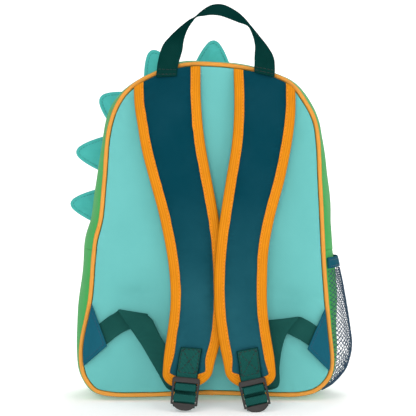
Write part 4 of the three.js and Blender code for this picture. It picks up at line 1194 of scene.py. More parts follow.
def strap_rim(strap):
    """Down the strap's left edge, round its end and up its right edge.

    For each place: the place, the directions inwards and outwards, the puff, the share of the way down.
    """
    down = np.linspace(0, strap.last, RIM_STEPS)
    left, right = strap.edge(down, -1), strap.edge(down, 1)
    inward = unit(right - left)
    out = strap.axes(down)[2]
    along, across, end_out = strap.axes(np.array(strap.last))
    half = np.linalg.norm(right[-1] - left[-1]) / 2
    a = np.linspace(math.pi, 0, RIM_END_STEPS + 1)[1:-1, None]
    end = strap.centre(strap.last) + across * half * np.cos(a) + along * STRAP_END_RISE * np.sin(a)
    end_inward = unit(-across * STRAP_END_RISE * np.cos(a) - along * half * np.sin(a))
    place = np.vstack([left, end, right[::-1]])
    inwards = np.vstack([inward, end_inward, -inward[::-1]])
    outs = np.vstack([out, np.repeat(end_out[None], len(a), 0), out[::-1]])
    puff = np.concatenate([strap.puff(down), np.full(len(a), strap.puff(1)), strap.puff(down)[::-1]])
    return place, inwards, outs, puff, np.concatenate([down, np.ones(len(a)), down[::-1]])


def corner_hem(place, width):
    """A width of the tape along the rim: it narrows where the rounded end turns sharply."""
    run = run_along(place)
    corners = (run[RIM_STEPS - 1], run[RIM_STEPS + RIM_END_STEPS - 2])
    near = sum(bell(run - corner, CORNER_REACH) for corner in corners)
    return width * (1 - CORNER_NARROWING * near)[:, None]


print({side: round(float(strap.top_left), 1) for side, strap in straps.items()})

# %% The bindings


def strap_binding(side, seed):
    """A tape folded round the strap's edge, a little gathered by its stitches."""
    place, inward, out, puff, down = strap_rim(straps[side])
    run = run_along(place)[:, None]
    inner = STRAP_EDGE / 2 * puff[:, None] + GAP
    outer = inner + BINDING_WALL
    flat = np.linspace(1, 0, 10)[None] ** 0.8
    fold = np.linspace(math.pi / 2, -math.pi / 2, 9)[None]
    hem = corner_hem(place, BINDING_WIDTH - 0.5)
    hem = hem + relief("hem sway", run, 0, seed) + relief("hem shake", run, 0, seed)
    top_a = outer + flat * (hem - outer)
    gather = relief("binding gather", run, top_a * 0.3, seed) * smooth(top_a, 3, 8)
    sunk = STITCH_SINK * bell(top_a - corner_hem(place, BINDING_STITCH), STITCH_SINK_REACH)
    top_b = outer + np.maximum(gather, -0.25) * 0.8 - sunk
    fold_a = outer * (1 - np.cos(fold))
    fold_b = outer * np.sin(fold)
    lining = np.linspace(0, 1, 4)[None]
    inside_a = BINDING_WALL + lining * (hem - BINDING_WALL)
    a = np.hstack([top_a, fold_a[:, 1:-1], top_a[:, ::-1], inside_a[:, ::-1], inside_a])
    b = np.hstack([top_b, fold_b[:, 1:-1], -outer + 0 * top_a, 0 * inside_a - inner, 0 * inside_a + inner])
    b[:, -1] = np.minimum(b[:, -1], top_b[:, 0] - 0.3)
    rings = place[:, None] + a[..., None] * inward[:, None] + b[..., None] * out[:, None]
    rings = straps[side].arched(rings, down[:, None])
    across = np.concatenate([[0], np.cumsum(np.hypot(np.diff(a[20]), np.diff(b[20])))])
    uv = np.stack(np.broadcast_arrays(run, across[None]), -1)
    return sweep(f"binding_{side}", rings, binding_tape, uv=uv)


for side, seed in (("left", 81), ("right", 91)):
    dress(strap_binding(side, seed), "binding_tape", f"strap_binding_{side}")

# %% The foam pads
PAD_INSET = BINDING_WALL + GAP
PAD_HEM = BINDING_WIDTH + GAP
PAD_END_TURN = 58  # degrees of the rounded end that the pad follows
PATCH_GROOVE = 1.3  # how deep the stitched patch sinks into the foam
PATCH_GROOVE_REACH = 1.2


def patch_border(side, run, across):
    """How far places on a strap lie from the border of its webbing patch."""
    strap = straps[side]
    down = np.linspace(0, strap.last, PAD_STEPS)
    length = run_along(strap.centre(down))[-1]
    tilt = math.radians(BUCKLE_TILT[side])
    x = across / math.cos(tilt)
    a = -(length - run - x * math.sin(tilt)) - (STRAP_END_RISE - BUCKLE_LAP[side])
    return np.maximum(np.abs(x) - WEBBING_WIDTH / 2, -PATCH_LENGTH - a)


def strap_pad(side, seed):
    """The foam between its two cloths: thin under the tape, puckered beside it and full in the middle."""
    strap = straps[side]
    down = np.linspace(0, strap.last, PAD_STEPS)
    along, across, out = strap.axes(down)
    left, right = strap.edge(down, -1), strap.edge(down, 1)
    puff = strap.puff(down)
    fill = smooth(strap.last - down, 0.0, 0.03) * 0.7 + 0.3
    rise = STRAP_END_RISE - PAD_INSET - GAP
    half = np.linalg.norm(right[-1] - left[-1]) / 2
    a = np.linspace(0, math.radians(PAD_END_TURN), 10)[1:, None]
    middle = strap.centre(strap.last) + along[-1] * rise * np.sin(a)
    reach = (half - PAD_INSET - GAP) * np.cos(a) + PAD_INSET + GAP
    left = np.vstack([left, middle - across[-1] * reach])
    right = np.vstack([right, middle + across[-1] * reach])
    out = np.vstack([out, np.repeat(out[-1:], len(a), 0)])
    puff = np.concatenate([puff, np.full(len(a), strap.puff(1))])[:, None]
    fill = np.concatenate([fill, np.linspace(0.25, 0, len(a))])[:, None]
    middle = (left + right) / 2
    run = run_along(middle)[:, None]
    width = np.linalg.norm(right - left, axis=1)[:, None]
    down_all = np.concatenate([down, np.ones(len(a))])[:, None]
    share = np.linspace(0, 1, 45)[None]
    place = PAD_INSET + share * (width - 2 * PAD_INSET)
    edge = np.minimum(place, width - place)
    hem = np.minimum(PAD_HEM, width * 0.45)
    inside = np.clip((edge - hem) / (width / 2 - hem), 0, 1)
    thin = STRAP_EDGE / 2 * puff
    swell = (STRAP_THICKNESS / 2 * puff - thin) * fill * (1 - (1 - inside) ** 2.6)
    near_hem = smooth(edge, hem - 0.5, hem + 2) * (1 - smooth(edge, hem + 4, hem + 11))
    low = smooth(run, run[-1] * 0.45, run[-1] * 0.75)
    pucker = relief("pad pucker", run, (place > width / 2) * 40.0, seed) * near_hem
    cross = relief("pad crease", run, place * 0.18, seed) * low * smooth(inside, 0, 0.3)
    soft = relief("pad hollow", run, place, seed) * smooth(inside, 0, 0.5)
    height = thin + swell + fill * np.minimum(pucker + cross + soft, 0.3)
    height = height - PATCH_GROOVE * bell(patch_border(side, run, place - width / 2), PATCH_GROOVE_REACH)
    pieces = []
    for sign, row, high in ((1, slice(None), height), (-1, slice(None, None, -1), thin + swell)):
        spot = left[:, None] + (place / width)[..., None] * (right - left)[:, None]
        face = spot + sign * high[..., None] * out[:, None]
        pieces.append(strap.arched(face, down_all)[:, row])
    uv = np.stack(np.broadcast_arrays(run, np.hstack([place, place[:, ::-1]])), -1)
    return sweep(f"strap_pad_{side}", np.hstack(pieces), strap_cloth, uv=uv)


for side, seed in (("left", 61), ("right", 71)):
    dress(strap_pad(side, seed), "strap_fabric", f"strap_{side}", padded=0.6)

# %% [markdown]
# ## Webbing and buckles
#
# The handle, the short patches over the strap ends and the long adjusting strips are all 20 mm webbing. A
# strip is swept through stations, each a middle and a line across it, so that it can turn on edge and
# fold over itself. At a buckle a strip goes straight, then round a bar: its path there is a few corners,
# rounded off.

# %% Strips of webbing
WEBBING_WALL = 1.2
STATIONS_PER_SPAN = 12
EDGE_TURN = [(-1, 0), (-0.96, 0.72), (-0.9, 1)]  # the thick woven edge: share across, share of the wall


def webbing_strip(name, middles, halves, material, seed):
    """A strip through many stations, with a rounded edge and a slight cup."""
    middles, halves = np.asarray(middles), np.asarray(halves)
    along = unit(np.gradient(middles, axis=0))
    up = unit(np.cross(along, halves))
    run = run_along(middles)[:, None]
    inner = np.linspace(-0.8, 0.8, 13)
    across = np.concatenate([[s for s, _ in EDGE_TURN], inner, [-s for s, _ in EDGE_TURN[::-1]]])
    high = np.concatenate([[h for _, h in EDGE_TURN], np.ones(len(inner)), [h for _, h in EDGE_TURN[::-1]]])
    width = np.linalg.norm(halves, axis=1)[:, None]
    edge = 1 + relief("webbing edge", run, 0, seed)
    spread = across[None] * edge
    ripple = relief("webbing ripple", run, across[None] * width, seed)
    rings = []
    for sign in (1, -1):
        lift = ripple + sign * WEBBING_WALL / 2 * high[None]
        face = middles[:, None] + spread[..., None] * halves[:, None] + lift[..., None] * up[:, None]
        rings.append(face if sign > 0 else face[:, ::-1][:, 1:-1])
    stack = [across, across[::-1][1:-1]]
    uv = np.stack(np.broadcast_arrays(run, np.concatenate(stack)[None] * width), -1)
    return sweep(name, np.hstack(rings), material, uv=uv, sharp=50)


def half_across(lean, turn, length):
    """Half of a strip's line across: it leans in the plane of the panel and is turned out of it."""
    a, t = math.radians(lean), math.radians(turn)
    return np.array([math.cos(a) * math.cos(t), -math.sin(t), math.sin(a) * math.cos(t)]) * length / 2


def soften(middles, halves):
    """Many stations on a smooth curve through a few."""
    return [curve_through(rows, centripetal=False, fine=STATIONS_PER_SPAN) for rows in (middles, halves)]


print("webbing width", WEBBING_WIDTH)

# %% The carry handle
HANDLE_SPAN = 93.6
HANDLE_RISE = 65.0
HANDLE_OFFSET = 7.0
HANDLE_SEAT = 0.032
HANDLE_LAP = dict(left=8.5, right=4.0)
HANDLE_TABLE = table(
    "x z lean turn out",
    (-0.5, 0.0, 3, 0, 1),
    (-0.481, 0.218, -7, 0, 0.6),
    (-0.44, 0.436, -17, 8, 0.27),
    (-0.3835, 0.607, -30, 46, 0.13),
    (-0.3216, 0.74, -40, 63, 0),
    (-0.2495, 0.849, -48, 74, 0),
    (-0.198, 0.903, -58, 79, 0),
    (-0.1258, 0.958, -85, 64, 0),
    (-0.033, 1.0, -92, 51, 0),
    (0.07, 0.992, -102, 46, 0),
    (0.173, 0.927, -118, 51, 0),
    (0.266, 0.844, -128, 61, 0),
    (0.3536, 0.748, -137, 76, 0),
    (0.4206, 0.6, -158, 68, 0),
    (0.472, 0.452, -172, 50, 0.13),
    (0.5, 0.296, -181, 21, 0.33),
    (0.505, 0.156, -189, 0, 0.65),
    (0.5, 0.0, -193, 0, 1),
)


def handle_stations():
    strap = straps["left"]
    foot_out = strap.column("out", HANDLE_SEAT) * STRAP_REACH + STRAP_THICKNESS / 2 * strap.puff(HANDLE_SEAT)
    foot_out = foot_out + GAP + WEBBING_WALL / 2
    feet = [
        seam.point(top_at(HANDLE_OFFSET + sign * HANDLE_SPAN / 2))[2] - HANDLE_LAP[side]
        for sign, side in ((-1, "left"), (1, "right"))
    ]
    middles, halves = [], []
    for row in HANDLE_TABLE:
        x = HANDLE_OFFSET + row["x"] * HANDLE_SPAN
        z = feet[0] + (feet[1] - feet[0]) * (row["x"] + 0.5) + row["z"] * HANDLE_RISE
        middles.append([x, BACK_Y - row["out"] * foot_out, z])
        halves.append(half_across(row["lean"], row["turn"], WEBBING_WIDTH))
    return middles, halves


handle_middles, handle_halves = soften(*handle_stations())
handle = webbing_strip("handle_webbing", handle_middles, handle_halves, shaded_handle_cloth, 101)
dress(handle, "webbing", "carry_handle")

# %% The place of a point at a buckle
BUCKLE_WIDTH = 25.4
BUCKLE_LENGTH = 30.0
BUCKLE_WALL = 3.6
BUCKLE_RAIL = 2.2
TAIL_LENGTH = 5.0
BARS = [(0, 5), (7.6, 11), (17, 21), (23.4, BUCKLE_LENGTH)]  # from the buckle's top edge down
LAYER = WEBBING_WALL + GAP
BUCKLE_BACK = 2 * LAYER
BUCKLE_FRONT = BUCKLE_BACK + BUCKLE_WALL
OFF_BAR = GAP + WEBBING_WALL / 2
BAR_PLAY = 0.2  # how loosely webbing goes into its slot


def buckle_seat(side):
    """A function from x across a buckle, a down it and n out of the strap's face to a place on the bag."""
    strap = straps[side]
    tilt = math.radians(BUCKLE_TILT[side])
    end_rise = STRAP_END_RISE - BUCKLE_LAP[side]

    def turned(axes):
        along, across, out = axes
        down = np.cross(across, out)
        down = np.where(np.sum(down * along, -1, keepdims=True) < 0, -down, down)
        return (
            across * math.cos(tilt) - down * math.sin(tilt),
            down * math.cos(tilt) + across * math.sin(tilt),
            out,
        )

    flat_axes = strap.axes(np.array([strap.last]))
    flat = turned(flat_axes)
    top = strap.centre(strap.last) + flat_axes[0][0] * end_rise

    def seat(x, a, n):
        x, a, n = (np.atleast_1d(np.asarray(v, float)) for v in np.broadcast_arrays(x, a, n))
        above = -a - end_rise
        down = np.where(above > 0, strap.down_at(np.maximum(above, 0)), strap.last)
        local = turned(strap.axes(down))
        upper = (above > 0)[:, None]
        axes = [np.where(upper, near, far) for near, far in zip(local, flat)]
        base = np.where(upper, strap.centre(down), top + a[:, None] * flat[1])
        surface = STRAP_THICKNESS / 2 * strap.puff(down) + GAP
        return base + axes[0] * x[:, None] + axes[2] * (surface + n)[:, None]

    return seat


seats = {side: buckle_seat(side) for side in straps}


def rounded_path(corners, radius, step=1.2):
    """A path of straight runs through corners, each corner an arc."""
    corners = np.asarray(corners, float)
    path = [corners[:1]]
    for before, corner, after in zip(corners, corners[1:], corners[2:]):
        start, end = unit(corner - before), unit(after - corner)
        turn = math.acos(float(np.clip(start @ end, -1, 1)))
        if turn < 0.02:
            continue
        reach = radius * math.tan(turn / 2)
        t = np.linspace(0, 1, 9)[:, None]
        a, b = corner - start * reach, corner + end * reach
        path.append((1 - t) ** 2 * a + 2 * t * (1 - t) * corner + t**2 * b)
    path.append(corners[-1:])
    path = np.vstack(path)
    filled = [path[:1]]
    for a, b in zip(path, path[1:]):
        count = max(int(np.linalg.norm(b - a) / step), 1)
        filled.append(a + (b - a) * np.linspace(0, 1, count + 1)[1:, None])
    return np.vstack(filled)


def wound(side, path):
    """Stations of webbing at a buckle, from a path of places down it and out of the strap's face."""
    seat = seats[side]
    middles = seat(0, path[:, 0], path[:, 1])
    return middles, seat(WEBBING_WIDTH / 2, path[:, 0], path[:, 1]) - middles


print({side: seat(0, 0, 0).round(1).tolist() for side, seat in seats.items()})

# %% The fixed webbing over the strap's end, round its bar and back beneath itself
PATCH_UNDER = WEBBING_WALL / 2
PATCH_OVER = PATCH_UNDER + LAYER
WOUND_FRONT = BUCKLE_FRONT + OFF_BAR
PATCH_INTO = BARS[1][0] - OFF_BAR - BAR_PLAY
PATCH_BACK = BARS[1][1] + OFF_BAR
FOLD_RADIUS = 1.3


def strap_patch(side, seed):
    path = rounded_path(
        [
            (-PATCH_LENGTH, PATCH_OVER), (PATCH_INTO, PATCH_OVER), (PATCH_INTO, WOUND_FRONT),
            (PATCH_BACK, WOUND_FRONT), (PATCH_BACK, PATCH_UNDER), (-PATCH_LENGTH, PATCH_UNDER),
        ],
        FOLD_RADIUS,
    )
    return webbing_strip(f"patch_{side}", *wound(side, path), patch_cloth, seed)


for side, seed in (("left", 111), ("right", 121)):
    dress(strap_patch(side, seed), "webbing", f"strap_patch_{side}")

# %% The adjusting webbing: folded from its corner tab, up behind the strap and round its bar
WEBBING_TABLES = {
    "left": table(
        "x z lean spread turn out",
        (-0.885, 0.17, 121, 0.72, -13, 0.105),
        (-0.85, 0.18, 122, 1.0, -13, 0.14),
        (-0.74, 0.213, 130, 1.0, -7, 0.22),
        (-0.64, 0.233, 154, 1.28, 0, 0.25),
        (-0.595, 0.2505, 169, 1.39, 0, 0.26),
        (-0.585, 0.2535, 171, 1.42, 0, 0.293),
        (-0.588, 0.2505, 173, 1.39, 0, 0.326),
        (-0.53, 0.222, 190, 1.22, 0, 0.345),
        (-0.455, 0.176, 206, 1.0, 0, 0.38),
        (-0.335, 0.102, 208, 1.0, 0, 0.47),
        (-0.245, 0.046, 198, 1.0, 0, 0.57),
    ),
    "right": table(
        "x z lean spread turn out",
        (0.88, 0.165, 59, 0.72, -14, 0.1),
        (0.845, 0.175, 58, 0.96, -15, 0.132),
        (0.77, 0.196, 54, 1.0, -7, 0.24),
        (0.665, 0.217, 30, 1.2, 0, 0.28),
        (0.605, 0.2305, 12, 1.42, 0, 0.29),
        (0.592, 0.2325, 7, 1.45, 0, 0.323),
        (0.588, 0.23, 5, 1.4, 0, 0.356),
        (0.53, 0.193, 0, 1.1, 0, 0.385),
        (0.498, 0.153, -4, 1.0, 0, 0.43),
        (0.475, 0.1, -5, 1.0, 0, 0.51),
        (0.463, 0.042, -2, 1.0, 0, 0.6),
    ),
}


def adjusting_strip(side, seed):
    loose_middles, loose_halves = [], []
    for row in WEBBING_TABLES[side]:
        out = BACK_Y - row["out"] * STRAP_REACH
        loose_middles.append([row["x"] * HALF_WIDTH, out, BASE_LIFT + row["z"] * BAG_HEIGHT])
        loose_halves.append(half_across(row["lean"], row["turn"], WEBBING_WIDTH * row["spread"]))
    behind = -STRAP_THICKNESS * straps[side].puff(1) - 2 * GAP - WEBBING_WALL
    into = BARS[2][0] - OFF_BAR - BAR_PLAY
    back = BARS[2][1] + OFF_BAR
    under = BUCKLE_BACK - OFF_BAR
    path = rounded_path(
        [
            (into - 3, behind - 2), (into + 1.5, behind - 1), (into, behind + 3), (into, WOUND_FRONT),
            (back, WOUND_FRONT), (back, under), (back + TAIL_LENGTH, under - 0.5),
        ],
        FOLD_RADIUS,
        step=1.5,
    )
    middles, halves = wound(side, path)
    if np.dot(loose_halves[-1], halves[0]) < 0:
        halves = -halves
    soft_middles, soft_halves = soften([*loose_middles, middles[0]], [*loose_halves, halves[0]])
    middles = np.vstack([soft_middles, middles[1:]])
    halves = np.vstack([soft_halves, halves[1:]])
    return webbing_strip(f"adjusting_strip_{side}", middles, halves, webbing_cloth, seed)


for side, seed in (("left", 131), ("right", 141)):
    dress(adjusting_strip(side, seed), "webbing", f"adjust_webbing_{side}")

# %% Ladder-lock buckles
BUCKLE_ROUND = 0.7
PLATE_SHOULDER = BARS[3][0] + 1.4


def buckle_outline():
    """The frame seen from the front, as loops of points: the outline first, then the three slots."""
    half = BUCKLE_WIDTH / 2
    side = [
        (half - 2, 0), (half - 0.6, 0.6), (half, 2), (half - 0.4, PLATE_SHOULDER),
        (half - 3, PLATE_SHOULDER + 0.6),
    ]
    t = np.linspace(0, 1, 9)[1:, None]
    start, bend, end = (
        np.array(p)
        for p in ((half - 3, PLATE_SHOULDER + 0.6), (half - 5.5, BUCKLE_LENGTH), (0, BUCKLE_LENGTH))
    )
    tip = (1 - t) ** 2 * start + 2 * t * (1 - t) * bend + t**2 * end
    right = [*side, *map(tuple, tip)]
    outline = [*right, *[(-x, a) for x, a in right[-2::-1]]]
    inside = half - BUCKLE_RAIL
    slots = [
        [(-inside, above[1]), (-inside, below[0]), (inside, below[0]), (inside, above[1])]
        for above, below in zip(BARS, BARS[1:])
    ]
    return [outline, *slots]


def flat_part(loops, wall, rounding):
    """Points (x, a, n) and faces of a flat part with holes and rounded edges, cut from loops of points."""
    curve = bpy.data.curves.new("outline", "CURVE")
    curve.dimensions = "2D"
    curve.fill_mode = "BOTH"
    curve.extrude = (wall / 2 - rounding) * MM
    curve.bevel_depth = rounding * MM
    curve.bevel_resolution = 2
    curve.offset = -rounding * MM
    for loop in loops:
        spline = curve.splines.new("POLY")
        spline.points.add(len(loop) - 1)
        for point, (x, a) in zip(spline.points, loop):
            point.co = (x * MM, a * MM, 0, 1)
        spline.use_cyclic_u = True
    flat = add_object("outline", curve)
    bpy.context.view_layer.update()
    mesh = bpy.data.meshes.new_from_object(flat.evaluated_get(bpy.context.evaluated_depsgraph_get()))
    bpy.data.objects.remove(flat)
    sculpt = bmesh.new()
    sculpt.from_mesh(mesh)
    bmesh.ops.remove_doubles(sculpt, verts=sculpt.verts, dist=0.01 * MM)
    points = np.array([v.co[:] for v in sculpt.verts]) / MM
    sculpt.verts.index_update()
    faces = [tuple(v.index for v in face.verts) for face in sculpt.faces]
    sculpt.free()
    return points, faces


def buckle(side):
    """The outline, given its thickness, is laid on its seat with its thumb plate tilted out."""
    points, faces = flat_part(buckle_outline(), BUCKLE_WALL, BUCKLE_ROUND)
    x, a, n = points.T
    n = n + smooth(a, BARS[3][0], BUCKLE_LENGTH) * 0.9
    seated = seats[side](x, a, BUCKLE_BACK + BUCKLE_WALL / 2 + n)
    return make_piece(f"ladder_lock_{side}", seated, faces, np.stack([x, a], -1), buckle_plastic, sharp=50)


for side in seats:
    dress(buckle(side), "plastic", f"buckle_{side}")

# %% [markdown]
# ## Corner tabs
#
# At each lower corner the webbing is held by a square of cloth folded to a triangle. Its long side is
# caught in the seam, and two free sides are topstitched through all layers, so they stay thin and sharp.

# %% Folded triangles over the webbing's ends
TAB_WALL = 2.2
TAB_CLEARANCE = 1.8
TAB_RISE = 8.2
TAB_HEM = 2.6
TAB_SINK = 0.3
TAB_SINK_REACH = 0.6
TAB_TABLE = dict(
    left=dict(upper=0.278, lower=0.087, corner_x=-0.795, corner_z=0.152, seed=151),
    right=dict(upper=0.264, lower=0.072, corner_x=0.782, corner_z=0.143, seed=161),
)


def tab_corners(side):
    """The seam edge of a tab, from its lower end to its upper one, and its free corner."""
    row = TAB_TABLE[side]
    at = left_at if side == "left" else right_at
    u = np.linspace(*(at(BASE_LIFT + row[name] * BAG_HEIGHT) for name in ("lower", "upper")), 30)
    foot = seam.point(u) - seam_outward(u) * SEAM_INSET
    foot[:, 1] = BACK_Y - PANEL_RIM - TAB_CLEARANCE - TAB_WALL / 2
    corner = [row["corner_x"] * HALF_WIDTH, foot[0, 1] - TAB_RISE, BASE_LIFT + row["corner_z"] * BAG_HEIGHT]
    return foot, np.array(corner)


def distance_to(points, start, end):
    """How far points are from a straight edge."""
    along = end - start
    share = np.clip(((points - start) @ along) / (along @ along), 0, 1)
    return np.linalg.norm(points - start - share[..., None] * along, axis=-1)


def corner_tab(side):
    foot, corner = tab_corners(side)
    seed = TAB_TABLE[side]["seed"]
    t = np.linspace(0, 1, 26)[1:-1, None]
    upper_edge = foot[-1] + (corner - foot[-1]) * t
    lower_edge = corner + (foot[0] - corner) * t
    rim = np.vstack([foot, upper_edge, corner, lower_edge])
    heart = rim.mean(axis=0)
    share = np.linspace(0, 1, 25)[1:, None, None] ** 0.8
    flat = heart + share * (rim - heart)
    edge = np.minimum(distance_to(flat, foot[-1], corner), distance_to(flat, corner, foot[0]))
    round_edge = np.sqrt(np.clip(edge / 0.9, 0.05, 1))
    sunk = TAB_SINK * bell(edge - TAB_HEM, TAB_SINK_REACH)
    ripple = relief("tab ripple", flat[..., 0], flat[..., 2], seed) * smooth(edge, 0, 5)
    half = TAB_WALL / 2 * round_edge
    near = flat[..., 1] - half + sunk - np.clip(ripple, -0.3, 0.3)
    return disc(f"corner_tab_{side}", heart, flat, near, flat[..., 1] + half, tab_cloth, sharp=60)


for side in TAB_TABLE:
    dress(corner_tab(side), "navy_fabric", f"tab_{side}")

# %% [markdown]
# ## Things that repeat, grown by Geometry Nodes
#
# Stitches, zip coils and net threads are many small copies of one thing. A point with a heading and a
# facing stands for each stitch, and a node tree puts a small rounded bar there. Another node tree turns
# rows of edges into round thread. Both end as plain meshes.

# %% Two node trees: bars on points, and thread along edges


def new_tree(name, inputs):
    """A Geometry Nodes tree with a geometry going in and out, and some named numbers."""
    tree = bpy.data.node_groups.new(name, "GeometryNodeTree")
    tree.interface.new_socket(name="Geometry", in_out="INPUT", socket_type="NodeSocketGeometry")
    for label, kind in inputs.items():
        tree.interface.new_socket(name=label, in_out="INPUT", socket_type=kind)
    tree.interface.new_socket(name="Geometry", in_out="OUTPUT", socket_type="NodeSocketGeometry")
    return tree, tree.nodes.new("NodeGroupInput"), tree.nodes.new("NodeGroupOutput")


def add_node(tree, kind, **links):
    """A node whose inputs, named by their labels with spaces as underscores, get links or values."""
    made = tree.nodes.new(kind)
    for label, value in links.items():
        socket = made.inputs[label.replace("_", " ")]
        if isinstance(value, bpy.types.NodeSocket):
            tree.links.new(value, socket)
        else:
            socket.default_value = value
    return made


def bar_tree():
    tree, given, result = new_tree(
        "bars_on_points",
        {
            "Length": "NodeSocketFloat", "Width": "NodeSocketFloat", "Height": "NodeSocketFloat",
            "Finish": "NodeSocketMaterial",
        },
    )
    ball = add_node(tree, "GeometryNodeMeshUVSphere", Segments=8, Rings=6, Radius=0.5)
    size = add_node(
        tree, "ShaderNodeCombineXYZ", X=given.outputs["Length"], Y=given.outputs["Width"],
        Z=given.outputs["Height"],
    )
    shaped = add_node(tree, "GeometryNodeTransform", Geometry=ball.outputs["Mesh"], Scale=size.outputs[0])
    turns = None
    for label, axis in (("heading", "X"), ("facing", "Z")):
        vector = add_node(tree, "GeometryNodeInputNamedAttribute", Name=label)
        vector.data_type = "FLOAT_VECTOR"
        align = tree.nodes.new("FunctionNodeAlignRotationToVector")
        align.axis = axis
        align.pivot_axis = "AUTO" if axis == "X" else "X"
        tree.links.new(vector.outputs["Attribute"], align.inputs["Vector"])
        if turns is not None:
            tree.links.new(turns, align.inputs["Rotation"])
        turns = align.outputs[0]
    copies = add_node(
        tree, "GeometryNodeInstanceOnPoints",
        Points=given.outputs["Geometry"], Instance=shaped.outputs["Geometry"], Rotation=turns,
    )
    real = add_node(tree, "GeometryNodeRealizeInstances", Geometry=copies.outputs["Instances"])
    finished = add_node(
        tree, "GeometryNodeSetMaterial", Geometry=real.outputs["Geometry"], Material=given.outputs["Finish"]
    )
    tree.links.new(finished.outputs["Geometry"], result.inputs["Geometry"])
    return tree


def thread_tree():
    tree, given, result = new_tree(
        "thread_along_edges", {"Radius": "NodeSocketFloat", "Finish": "NodeSocketMaterial"}
    )
    lines = add_node(tree, "GeometryNodeMeshToCurve", Mesh=given.outputs["Geometry"])
    ring = add_node(tree, "GeometryNodeCurvePrimitiveCircle", Resolution=5, Radius=given.outputs["Radius"])
    tube = tree.nodes.new("GeometryNodeCurveToMesh")
    tree.links.new(lines.outputs["Curve"], tube.inputs["Curve"])
    tree.links.new(ring.outputs["Curve"], tube.inputs["Profile Curve"])
    tube.inputs["Fill Caps"].default_value = True
    smooth_tube = add_node(tree, "GeometryNodeSetShadeSmooth", Geometry=tube.outputs["Mesh"])
    real = add_node(tree, "GeometryNodeRealizeInstances", Geometry=smooth_tube.outputs["Geometry"])
    finished = add_node(
        tree, "GeometryNodeSetMaterial", Geometry=real.outputs["Geometry"], Material=given.outputs["Finish"]
    )
    tree.links.new(finished.outputs["Geometry"], result.inputs["Geometry"])
    return tree


BAR_TREE = bar_tree()
THREAD_TREE = thread_tree()


def grow(name, points, edges, vectors, tree, **inputs):
    """A plain mesh object from a node tree run on points and edges."""
    seed_mesh = bpy.data.meshes.new(name + "_seed")
    seed_mesh.from_pydata((np.asarray(points) * MM).tolist(), edges, [])
    for label, values in vectors.items():
        layer = seed_mesh.attributes.new(label, "FLOAT_VECTOR", "POINT")
        layer.data.foreach_set("vector", np.asarray(values, np.float32).ravel())
    seed = add_object(name + "_seed", seed_mesh)
    modifier = seed.modifiers.new("grow", "NODES")
    modifier.node_group = tree
    sockets = {item.name: item.identifier for item in tree.interface.items_tree if item.in_out == "INPUT"}
    for label, value in inputs.items():
        modifier[sockets[label]] = value
    bpy.context.view_layer.update()
    grown = bpy.data.meshes.new_from_object(seed.evaluated_get(bpy.context.evaluated_depsgraph_get()))
    seed.modifiers.remove(modifier)
    bpy.data.objects.remove(seed)
    grown.name = name
    grown.shade_smooth()
    return add_object(name, grown)


print("node trees:", BAR_TREE.name, THREAD_TREE.name)

# %% [markdown]
# ## The bottle pocket
#
# The pocket is a knitted net with an elastic band along its mouth. Two sets of threads cross on the
# slant, one over the other, on the same bulging surface as the solid. The band is gathered by its
# elastic.

# %% The pocket's bulging surface
POCKET_BULGE = 15.0
POCKET_TOP = 137.0
POCKET_FOOT = 13.0
POCKET_BAND_HEIGHT = 10.0
POCKET_BAND_WALL = 1.6
POCKET_EDGE = 0.03
NET_PITCH = 4.6
NET_THREAD = 0.3
POCKET_TABLE = table(
    "up share",
    (0.0, 0.0),
    (0.1, 0.37),
    (0.18, 0.73),
    (0.3, 1.0),
    (0.41, 0.93),
    (0.66, 0.53),
    (0.88, 0.31),
    (1.0, 0.17),
)
pocket_foot = right_at(POCKET_FOOT)
pocket_mouth = right_at(POCKET_TOP)
pocket_length = (pocket_mouth - pocket_foot) * seam.length
pocket_width = WALL_SPAN * (1 - 2 * POCKET_EDGE)


def pocket_point(s, t):
    s, t = np.broadcast_arrays(np.asarray(s, float), np.asarray(t, float))
    share = look_up(POCKET_TABLE, "up", "share", s)
    swell = POCKET_BULGE * share * swelling(t)
    v = POCKET_EDGE + t * (1 - 2 * POCKET_EDGE)
    return wall_point(pocket_foot + s * (pocket_mouth - pocket_foot), v, GAP + swell)


def pocket_layer(s, t, lift):
    """A point over the pocket's surface, lifted along its normal."""
    up = pocket_point(np.minimum(s + 0.01, 1), t) - pocket_point(np.maximum(s - 0.01, 0), t)
    over = pocket_point(s, np.minimum(t + 0.01, 1)) - pocket_point(s, np.maximum(t - 0.01, 0))
    normal = unit(np.cross(over, up))
    normal = np.where(normal[..., :1] < 0, -normal, normal)
    return pocket_point(s, t) + normal * np.asarray(lift)[..., None]


# %% The elastic band along its mouth
BAND_SINK = 0.3
BAND_SINK_REACH = 0.012  # a share of the pocket's height
band_t = np.linspace(0, 1, 130)[:, None]
band_low = 1 - POCKET_BAND_HEIGHT / pocket_length
band_s = np.linspace(band_low, 1, 9)[None]
band_run = band_t * pocket_width
gathers = relief("band gather", band_run, band_s * 20) + relief("band sway", band_run, 0)
band_sunk = BAND_SINK * bell(band_s - band_low, BAND_SINK_REACH)
outer_lift = POCKET_BAND_WALL + np.clip(gathers, -0.3, 0.5) - band_sunk
top_lift = np.linspace(1, 0, 5)[None, 1:-1] * outer_lift[:, -1:]
top_s = 1 + 0.006 * np.sin(np.linspace(0, math.pi, 5)[None, 1:-1])
lift = np.hstack([outer_lift, top_lift, 0 * band_s + 0 * band_t])
share_up = np.hstack([band_s + 0 * band_t, top_s + 0 * band_t, band_s[:, ::-1] + 0 * band_t])
rings = pocket_layer(np.minimum(share_up, 1), band_t, lift)
rings[..., 2] += np.maximum(share_up - 1, 0) * pocket_length
band_uv = np.stack(np.broadcast_arrays(share_up * pocket_length, band_run), -1)
dress(sweep("pocket_elastic", rings, tab_cloth, uv=band_uv), "navy_fabric", "pocket_band")

